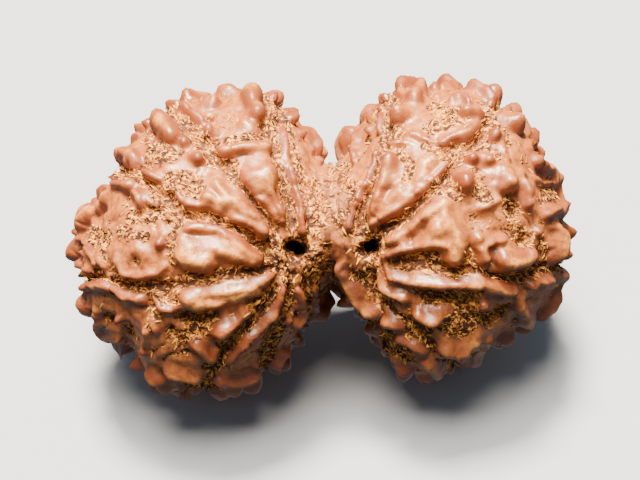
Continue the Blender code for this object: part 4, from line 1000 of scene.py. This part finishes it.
def holeCutter(name, hole, form, turn, shift):
    # a tube along w: openness = exp(-(depth under the mouth / mouthReach)^1.5), and its radius
    # is bore + (mouth - bore) * openness, drawn out along the mouth on the front, less noise
    w = np.linspace(-holeForm["reach"], holeForm["reach"], holeForm["rings"])
    angle = np.linspace(0, 2 * math.pi, holeForm["spokes"], endpoint=False)
    w, angle = np.meshgrid(w, angle, indexing="ij")
    top = float(halfSizes(hole[0])[2])
    depth = np.maximum(top * holeForm["mouthTop"] - np.abs(w), 0) / holeForm["mouthReach"]
    openness = np.exp(-(depth**1.5))
    front = openness * (w > 0)
    start, end = np.array(form["from"]), np.array(form["to"])
    lean = math.atan2(*(end - start)[::-1])
    drawn = np.linalg.norm(end - start) / 2 * np.abs(np.cos(angle - lean)) ** 1.5 * front
    radius = holeForm["bore"] + (form["radius"] - holeForm["bore"]) * openness + drawn
    seeds = np.stack([np.cos(angle) * 0.8, np.sin(angle) * 0.8 + hole[0], w * 0.9], axis=-1)
    radius = radius * (1 + holeForm["ragged"] * layeredNoise(seeds, holeForm["raggedCell"], 95, 2))
    centre = np.array(hole) + ((start + end) / 2 - np.array(hole)) * front[..., None]
    bend = holeForm["bend"] * np.exp(-((w / (holeForm["bendReach"] * top)) ** 2))
    centre = centre + bend[..., None] * np.array([0.0, 1.0])
    across = radius[..., None] * np.stack([np.cos(angle), np.sin(angle)], axis=-1)
    points = np.concatenate([centre + across, w[..., None]], axis=-1)
    # painted shade and dust: the bore's walls carry full crevice and furrow, which the material paints
    # dark
    holeShadeAndDust = np.ones(w.shape)
    mesh = closedGrid(name, points @ turn.T + shift, {"furrow": holeShadeAndDust, "crevice": holeShadeAndDust})
    cutter = bpy.data.objects.new(name, mesh)
    bpy.context.scene.collection.objects.link(cutter)
    return cutter


def boreHoles(piece, turn, shift):
    # cuts each stone's hole from pole to pole
    for hole, side in zip(pairForm["holes"], ("left", "right")):
        cutter = holeCutter(side + "Bore", hole, holeForm[side], turn, shift)
        boolean = piece.modifiers.new(side, "BOOLEAN")
        boolean.object = cutter
        boolean.operation = "DIFFERENCE"
        boolean.solver = "MANIFOLD"
        with bpy.context.temp_override(object=piece, active_object=piece):
            bpy.ops.object.modifier_apply(modifier=boolean.name)
        bpy.data.objects.remove(cutter)


def shown(name, mesh, material):
    piece = bpy.data.objects.new(name, mesh)
    bpy.context.scene.collection.objects.link(piece)
    mesh.materials.append(material)
    return piece


# What a user would change about the colours, as linear red, green, blue
nutColours = {
    "polished": (0.43, 0.121, 0.022, 1),
    "pale": (0.76, 0.275, 0.048, 1),  # paler tone: a painted highlight on the knobs' crowns, and paler knobs and clouds
    "ruddy": (0.20, 0.039, 0.009, 1),  # painted shade on their steep sides; also the grain's dark specks and the listed darker knobs
    "stainAndShade": (0.135, 0.038, 0.015, 1),  # dark lines on the neck and dark fibres; also painted shade in the hollows under the knobs
    "pulp": (0.40, 0.110, 0.022, 1),
    "cream": (1.0, 0.44, 0.088, 1),  # the pulp's torn flakes
    "shade": (0.050, 0.019, 0.011, 1),
    "mauve": (0.13, 0.055, 0.038, 1),  # dust in the furrows
}

# What a user would change about the finish. Scales are noise cells to a metre. A range is the
# value at which a change starts and ends, and then, if need be, how much of it there is there.
nutFinish = {
    "pulpScale": 3800.0,
    "broadScale": 0.28,  # of pulpScale
    "broadShare": 0.5,
    "cloudScale": 520.0,
    "grainScale": 2900.0,
    "edgeScale": 1900.0,
    "glossScale": 900.0,
    "fibreScale": 9000.0,
    "creamRange": (0.52, 0.64),
    "gapRange": (0.80, 0.70),
    "crownHighlightRange": (0.55, 1.15),
    "slopeShadeRange": (0.3, 1.4, 0.0, 0.9),
    "grainRange": (0.58, 0.38, 0.0, 0.6),
    "rubbedRange": (-0.9, -2.2, 0.0, 0.75),
    "shellRange": (0.30, 0.72),
    "neckLineRange": (0.45, 0.85),
    "hollowShadeRange": (0.03, 0.40),
    "brokenRange": (0.60, 0.40),
    "dustRange": (0.40, 0.90, 0.0, 0.9),
    "shadeRange": (0.06, 0.24, 0.0, 0.85),
    "glossRange": (0.35, 0.65),
    "fibreCreamRange": (0.20, 0.75),
    "fibreStainRange": (0.30, 0.22),
    "fibreFlakes": 0.35,
    "torn": 1.3,  # how far noise tears the edge between shell and pulp
    "crownHighlight": 0.75,
    "tintPale": 0.30,
    "cloudPale": 2.0,
    "cloudRuddy": 1.2,
    "wornNeck": 0.6,
    "hollowShadeStrength": 0.75,
    "shellRoughness": (0.30, 0.50),
    "neckRougher": 0.25,
    "pulpRoughness": 0.9,
    "fibreRoughness": 0.8,
    "shellGloss": 0.65,
    "pulpGloss": 0.15,
    "cloudBump": 0.6,
    "grainBump": 0.4,
    "shellBump": 0.8,
    "bumpStrength": 0.8,
    "bumpHeight": 0.00016,  # metres
}


class Tree:
    # short ways to add and join nodes
    def __init__(self, tree):
        self.tree = tree

    def add(self, kind, **values):
        node = self.tree.nodes.new(kind)
        for name, value in values.items():
            setattr(node, name, value)
        return node

    def join(self, source, target):
        self.tree.links.new(source, target)

    def feed(self, socket, value):
        if hasattr(value, "is_output"):
            self.join(value, socket)
        else:
            socket.default_value = value

    def math(self, operation, first, second=0.0, third=0.0):
        node = self.add("ShaderNodeMath", operation=operation)
        for socket, value in zip(node.inputs, (first, second, third)):
            self.feed(socket, value)
        return node.outputs[0]

    def centred(self, noise, amount):
        # amount * (noise - 1/2)
        return self.math("MULTIPLY_ADD", noise, amount, -amount / 2)

    def mix(self, share, first, second, kind="RGBA"):
        node = self.add("ShaderNodeMix", data_type=kind)
        self.feed(node.inputs["Factor"], share)
        self.feed(node.inputs["A"], first)
        self.feed(node.inputs["B"], second)
        return node.outputs["Result"]

    def between(self, value, low, high, start=0.0, end=1.0):
        node = self.add("ShaderNodeMapRange", interpolation_type="SMOOTHSTEP")
        for socket, item in zip(node.inputs, (value, low, high, start, end)):
            self.feed(socket, item)
        return node.outputs["Result"]

    def noise(self, vector, scale, detail=3.0, roughness=0.55, distortion=0.0):
        node = self.add("ShaderNodeTexNoise")
        self.feed(node.inputs["Vector"], vector)
        self.feed(node.inputs["Scale"], scale)
        node.inputs["Detail"].default_value = detail
        node.inputs["Roughness"].default_value = roughness
        node.inputs["Distortion"].default_value = distortion
        return node.outputs["Fac"]

    def attribute(self, name):
        return self.add("ShaderNodeAttribute", attribute_name=name).outputs["Fac"]


def newGroup(name, inputs, outputs):
    group = bpy.data.node_groups.new(name, "ShaderNodeTree")
    for label, kind, value in inputs:
        socket = group.interface.new_socket(label, in_out="INPUT", socket_type=kind)
        if value is not None:
            socket.default_value = value
    for label, kind in outputs:
        group.interface.new_socket(label, in_out="OUTPUT", socket_type=kind)
    tree = Tree(group)
    return group, tree, tree.add("NodeGroupInput").outputs, tree.add("NodeGroupOutput").inputs


def pulpGroup():
    # dried pulp: torn flakes of cream in tan, with painted shade in the gaps between them; also its
    # height
    group, tree, given, made = newGroup(
        "driedPulp",
        [
            ("Vector", "NodeSocketVector", None),
            ("Scale", "NodeSocketFloat", nutFinish["pulpScale"]),
            ("Tan", "NodeSocketColor", nutColours["pulp"]),
            ("Cream", "NodeSocketColor", nutColours["cream"]),
            ("Gap", "NodeSocketColor", nutColours["shade"]),
        ],
        [("Color", "NodeSocketColor"), ("Height", "NodeSocketFloat")],
    )
    fine = tree.noise(given["Vector"], given["Scale"], 4.0, 0.62, 0.6)
    broadScale = tree.math("MULTIPLY", given["Scale"], nutFinish["broadScale"])
    broad = tree.noise(given["Vector"], broadScale, 2.0)
    flakes = tree.between(fine, *nutFinish["creamRange"])
    both = tree.math("ADD", fine, tree.math("MULTIPLY", broad, nutFinish["broadShare"]))
    gaps = tree.between(both, *nutFinish["gapRange"])
    colour = tree.mix(flakes, given["Tan"], given["Cream"])
    tree.join(tree.mix(gaps, colour, given["Gap"]), made["Color"])
    tree.join(fine, made["Height"])
    return group


def polishGroup():
    # waxy shell: cloudy brown, with painted shade that makes the steep slopes ruddier and a painted
    # highlight that makes the crowns paler; also its height
    group, tree, given, made = newGroup(
        "waxyShell",
        [
            ("Vector", "NodeSocketVector", None),
            ("Height", "NodeSocketFloat", 0.5),
            ("Steepness", "NodeSocketFloat", 0.0),
            ("Tint", "NodeSocketFloat", 0.0),
            ("Polished", "NodeSocketColor", nutColours["polished"]),
            ("Pale", "NodeSocketColor", nutColours["pale"]),
            ("Ruddy", "NodeSocketColor", nutColours["ruddy"]),
        ],
        [("Color", "NodeSocketColor"), ("Height", "NodeSocketFloat")],
    )
    cloud = tree.noise(given["Vector"], nutFinish["cloudScale"], 4.0, 0.62)
    grain = tree.noise(given["Vector"], nutFinish["grainScale"], 4.0, 0.65)
    # painted highlight: the higher the crown, the paler it is painted
    crown = tree.between(given["Height"], *nutFinish["crownHighlightRange"])
    crown = tree.math("MULTIPLY", crown, nutFinish["crownHighlight"])
    tinted = tree.math("MULTIPLY", given["Tint"], nutFinish["tintPale"])
    clouded = tree.centred(cloud, nutFinish["cloudPale"])
    paleness = tree.math("ADD", tree.math("ADD", crown, tinted), clouded)
    colour = tree.mix(tree.between(paleness, 0.0, 1.0), given["Polished"], given["Pale"])
    # painted shade: steep sides are painted a darker red, broken up by the clouds
    side = tree.math("ADD", given["Steepness"], tree.centred(cloud, nutFinish["cloudRuddy"]))
    colour = tree.mix(tree.between(side, *nutFinish["slopeShadeRange"]), colour, given["Ruddy"])
    colour = tree.mix(tree.between(grain, *nutFinish["grainRange"]), colour, given["Ruddy"])
    rubbed = tree.between(given["Tint"], *nutFinish["rubbedRange"])
    colour = tree.mix(rubbed, colour, given["Ruddy"])
    tree.join(colour, made["Color"])
    fine = tree.math("MULTIPLY", grain, nutFinish["grainBump"])
    tree.join(tree.math("MULTIPLY_ADD", cloud, nutFinish["cloudBump"], fine), made["Height"])
    return group


def placed(tree, group, **values):
    node = tree.add("ShaderNodeGroup", node_tree=group)
    for name, value in values.items():
        tree.feed(node.inputs[name], value)
    return node


def blankMaterial(name):
    material = bpy.data.materials.new(name)
    material.use_nodes = True
    return material, Tree(material.node_tree), material.node_tree.nodes["Principled BSDF"].inputs


def nutMaterial(pulp, polish):
    # shell on what stands up and pulp in the hollows, then dark lines on the neck, painted shade in the
    # hollows under the knobs, dust in the furrows and painted shade in the crevices over both
    material, tree, shader = blankMaterial("rudrakshaShell")
    place = tree.add("ShaderNodeTexCoord").outputs["Object"]
    pulpNode = placed(tree, pulp, Vector=place)
    polishNode = placed(tree, polish, Vector=place, Height=tree.attribute("height"))
    tree.join(tree.attribute("steep"), polishNode.inputs["Steepness"])
    tree.join(tree.attribute("tint"), polishNode.inputs["Tint"])
    edge = tree.noise(place, nutFinish["edgeScale"], 4.0, 0.6)
    ragged = tree.math("ADD", tree.attribute("raised"), tree.centred(edge, nutFinish["torn"]))
    shell = tree.between(ragged, *nutFinish["shellRange"])
    colour = tree.mix(shell, pulpNode.outputs["Color"], polishNode.outputs["Color"])
    neck = tree.attribute("neck")
    lines = tree.math("ADD", tree.attribute("streak"), edge)
    lines = tree.between(lines, *nutFinish["neckLineRange"])
    worn = tree.math("MULTIPLY", tree.math("MULTIPLY", neck, lines), nutFinish["wornNeck"])
    colour = tree.mix(worn, colour, nutColours["stainAndShade"])
    # painted shade darkens the hollows under the knobs, where the skin lies below its surroundings
    hollowShade = tree.attribute("hollowShade")
    hollowShade = tree.between(hollowShade, *nutFinish["hollowShadeRange"], 0.0, nutFinish["hollowShadeStrength"])
    colour = tree.mix(hollowShade, colour, nutColours["stainAndShade"])
    broken = tree.between(edge, *nutFinish["brokenRange"])
    dust = tree.between(tree.attribute("furrow"), *nutFinish["dustRange"])
    colour = tree.mix(tree.math("MULTIPLY", dust, broken), colour, nutColours["mauve"])
    deep = tree.between(tree.attribute("crevice"), *nutFinish["shadeRange"])
    colour = tree.mix(tree.math("MULTIPLY", deep, broken), colour, nutColours["shade"])
    tree.join(colour, shader["Base Color"])
    clouds = tree.noise(place, nutFinish["glossScale"], 3.0)
    roughness = tree.between(clouds, *nutFinish["glossRange"], *nutFinish["shellRoughness"])
    roughness = tree.math("MULTIPLY_ADD", neck, nutFinish["neckRougher"], roughness)
    roughness = tree.mix(shell, nutFinish["pulpRoughness"], roughness, "FLOAT")
    tree.join(roughness, shader["Roughness"])
    gloss = tree.mix(shell, nutFinish["pulpGloss"], nutFinish["shellGloss"], "FLOAT")
    tree.join(gloss, shader["Specular IOR Level"])
    waves = tree.math("MULTIPLY", polishNode.outputs["Height"], nutFinish["shellBump"])
    bump = tree.add("ShaderNodeBump")
    bump.inputs["Strength"].default_value = nutFinish["bumpStrength"]
    bump.inputs["Distance"].default_value = nutFinish["bumpHeight"]
    tree.join(tree.mix(shell, pulpNode.outputs["Height"], waves, "FLOAT"), bump.inputs["Height"])
    tree.join(bump.outputs["Normal"], shader["Normal"])
    return material


def fibreMaterial(pulp):
    material, tree, shader = blankMaterial("driedFibre")
    place = tree.add("ShaderNodeTexCoord").outputs["Object"]
    own = tree.attribute("tint")  # each fibre's own draw, 0 to 1
    cream = tree.between(own, *nutFinish["fibreCreamRange"])
    colour = tree.mix(cream, nutColours["pulp"], nutColours["cream"])
    stainAndShade = tree.between(own, *nutFinish["fibreStainRange"])
    colour = tree.mix(stainAndShade, colour, nutColours["stainAndShade"])
    pulpNode = placed(tree, pulp, Vector=place, Scale=nutFinish["fibreScale"])
    colour = tree.mix(nutFinish["fibreFlakes"], colour, pulpNode.outputs["Color"])
    tree.join(colour, shader["Base Color"])
    shader["Roughness"].default_value = nutFinish["fibreRoughness"]
    shader["Specular IOR Level"].default_value = nutFinish["pulpGloss"]
    return material


# What a user would change about the torn fibres
fibreForm = {
    "count": 9500,
    "lengths": (0.22, 0.75),
    "widths": (0.045, 0.115),
    "thickness": 0.32,  # of the width
    "tip": 0.03,  # the square of the tips' share of the width
    "rise": 0.07,  # how far the middle stands up
    "sink": 0.02,
    "spread": 0.4,  # how far their directions stray from straight out
    "lifts": (-0.3, 0.9),  # how steeply they stick out
    "bend": 0.12,
    "furrowThinning": 0.75,
    "open": 0.35,  # share of them where there is no crevice
    "creviceRange": (-0.02, 0.15),  # depth over which a crevice counts
    "mouthClear": 0.8,  # how far they stay from a mouth's middle
    "lowest": -0.6,  # they don't grow lower than this in a pit
    "tintPower": 1.2,
    "seed": 5,
    "stations": 3,
}


def fibreShares(grown, looks):
    # how likely a fibre is at each place: more in the hollows, fewer in the bare furrows
    area = np.cross(np.gradient(grown, axis=0), np.roll(grown, -1, axis=1) - grown)
    shares = (1 - looks["raised"]) * (looks["height"] > fibreForm["lowest"])
    shares = shares * np.linalg.norm(area, axis=-1)
    crevice = smoothStep(*fibreForm["creviceRange"], looks["crevice"])
    shares = shares * (fibreForm["open"] + crevice)
    shares = shares * (1 - fibreForm["furrowThinning"] * looks["furrow"])
    for side in ("left", "right"):
        mouth = np.mean([holeForm[side]["from"], holeForm[side]["to"]], axis=0)
        gap = np.linalg.norm(grown[..., :2] - mouth, axis=-1)
        shares = shares * ((gap > fibreForm["mouthClear"]) | (grown[..., 2] < 0))
    shares[:3], shares[-3:] = 0, 0
    return (shares / shares.sum()).ravel()


def sliverFaces(stations):
    # the faces of one three-sided sliver, whose corners are numbered three to a station
    faces = []
    for k in range(stations - 1):
        for j in range(3):
            a, b = 3 * k + j, 3 * k + (j + 1) % 3
            faces += [[a, a + 3, b + 3], [a, b + 3, b]]
    last = 3 * (stations - 1)
    return np.array(faces + [[0, 1, 2], [last, last + 2, last + 1]])


def tornFibres(grown, looks):
    # Each fibre is a bent, tapered three-sided sliver: its centre line is the place plus
    # t * length along the fibre, raised by rise * (1 - 4 * t^2), t from -1/2 to 1/2
    rng = np.random.default_rng(fibreForm["seed"])
    count, stations = fibreForm["count"], fibreForm["stations"]
    shares = fibreShares(grown, looks)
    chosen = rng.choice(shares.size, count, p=shares)
    centre = grown.reshape(-1, 3)[chosen]
    up = gridNormals(grown).reshape(-1, 3)[chosen]
    hole = np.where(centre[:, :1] < 0, [pairForm["holes"][0]], [pairForm["holes"][1]])
    radial = np.concatenate([centre[:, :2] - hole, np.zeros((count, 1))], axis=1)
    run = unit(unit(radial) + rng.normal(0, fibreForm["spread"], (count, 3)))
    run = unit(run - (run * up).sum(-1, keepdims=True) * up)
    run = unit(run + up * rng.uniform(*fibreForm["lifts"], (count, 1)))
    side = unit(np.cross(run, up))
    top = np.cross(side, run)[:, None]
    length = rng.uniform(*fibreForm["lengths"], (count, 1, 1))
    width = rng.uniform(*fibreForm["widths"], (count, 1, 1))
    bend = rng.normal(0, fibreForm["bend"], (count, 1, 1))
    t = np.linspace(-0.5, 0.5, stations)[None, :, None]
    arch = 1 - 4 * t * t
    line = centre[:, None] + length * t * run[:, None] + bend * arch * side[:, None]
    line = line + (fibreForm["rise"] * arch - fibreForm["sink"]) * top
    taper = np.sqrt(np.maximum(arch, fibreForm["tip"])) * width
    corners = [(1.0, 0.0), (-0.5, 0.87), (-0.5, -0.87)]
    flat = fibreForm["thickness"]
    rings = [line + taper * (a * side[:, None] + flat * b * top) for a, b in corners]
    vertices = np.stack(rings, axis=2).reshape(-1, 3)
    firsts = 3 * stations * np.arange(count)[:, None, None]
    faces = (sliverFaces(stations) + firsts).reshape(-1, 3)
    tints = np.repeat(rng.uniform(0, 1, count) ** fibreForm["tintPower"], 3 * stations)
    return vertices, faces, tints


# What a user would change about the light and the view
studio = {
    "photoScale": 15.0,  # pixels to a millimetre at the seam
    "imageWidth": 640,
    "sensor": 36.0,
    "nearest": 0.005,
    "floorSize": 3.0,
    "floorColour": (0.37, 0.375, 0.41, 1),
    "floorRoughness": 0.9,
    "skyStrength": 0.33,
    "skyColour": (0.70, 0.87, 1.0, 1),
    "lightDistance": 0.8,  # metres
    "keyDirection": (-0.10, 0.85, 0.48),
    "keySize": 0.19,
    "keyPower": 41.0,
    "keyColour": (1.0, 0.94, 0.75),
    "fillDirection": (-0.10, 0.62, 0.78),
    "fillSize": 0.34,
    "fillPower": 16.0,
    "fillColour": (1.0, 0.93, 0.78),
}


def areaLight(name, turn):
    # a square light that faces the nut, in a direction given in the growth frame
    light = bpy.data.lights.new(name, "AREA")
    light.size = studio[name + "Size"]
    light.energy = studio[name + "Power"]
    light.color = studio[name + "Colour"]
    lamp = bpy.data.objects.new(name, light)
    bpy.context.scene.collection.objects.link(lamp)
    away = Vector((turn @ np.array(studio[name + "Direction"])).tolist()).normalized()
    lamp.location = away * studio["lightDistance"]
    lamp.rotation_euler = away.to_track_quat("Z", "Y").to_euler()


def addStudio(turn, shift):
    scene = bpy.context.scene
    half = studio["floorSize"] / 2
    mesh = bpy.data.meshes.new("floor")
    corners = [(-half, -half, 0), (half, -half, 0), (half, half, 0), (-half, half, 0)]
    mesh.from_pydata(corners, [], [(0, 1, 2, 3)])
    material, _, shader = blankMaterial("floorPaper")
    shader["Base Color"].default_value = studio["floorColour"]
    shader["Roughness"].default_value = studio["floorRoughness"]
    floor = shown("floor", mesh, material)
    floor.visible_diffuse = False  # so that no light comes up under the nut
    floor.visible_glossy = False
    world = bpy.data.worlds.new("studio")
    world.use_nodes = True
    sky = world.node_tree.nodes["Background"].inputs
    sky["Color"].default_value = studio["skyColour"]
    sky["Strength"].default_value = studio["skyStrength"]
    scene.world = world
    areaLight("key", turn)
    areaLight("fill", turn)
    lens = bpy.data.cameras.new("camera")
    lens.sensor_width = studio["sensor"]
    view = studio["imageWidth"] / studio["photoScale"]
    lens.lens = studio["sensor"] / view * reliefForm["eyeDistance"]
    lens.clip_start = studio["nearest"]
    camera = bpy.data.objects.new("camera", lens)
    scene.collection.objects.link(camera)
    eye = turn @ np.array([*reliefForm["eye"], reliefForm["eyeDistance"]]) + shift
    place = Matrix.Translation(Vector((eye * mm).tolist()))
    camera.matrix_world = place @ Matrix(turn.tolist()).to_4x4()
    scene.camera = camera


# The nut stands on its cut feet in the middle of the solid part's box
grown, looks, turn = grownSurface()
stood = grown.reshape(-1, 3) @ turn.T
low, high = stood.min(axis=0), stood.max(axis=0)
surface = cadLow[2] / mm
cadMiddle = (np.array(cadLow) + np.array(cadHigh)) / 2 / mm
shift = np.array([*(cadMiddle - (low + high) / 2)[:2], surface - low[2] - reliefForm["footCut"]])
stood = stood + shift
stood[:, 2] = np.maximum(stood[:, 2], surface)

pulp, polish = pulpGroup(), polishGroup()
nutMesh = closedGrid("nutSkin", stood.reshape(grown.shape), looks)
nutPiece = shown("nutSkin", nutMesh, nutMaterial(pulp, polish))
boreHoles(nutPiece, turn, shift)
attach(nutPiece, "root")
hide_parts("gauri_shankar_rudraksha")
print("nut skin made and bored")

vertices, faces, tints = tornFibres(grown, looks)
fibreMesh = bpy.data.meshes.new("driedFibres")
fibreMesh.from_pydata((vertices @ turn.T + shift) * mm, [], faces.tolist())
tintValues = fibreMesh.attributes.new("tint", "FLOAT", "POINT").data
tintValues.foreach_set("value", tints.astype(np.float32))
fibrePiece = shown("driedFibres", fibreMesh, fibreMaterial(pulp))
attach(fibrePiece, "root")
print("fibres made")

addStudio(turn, shift)
print("studio made")
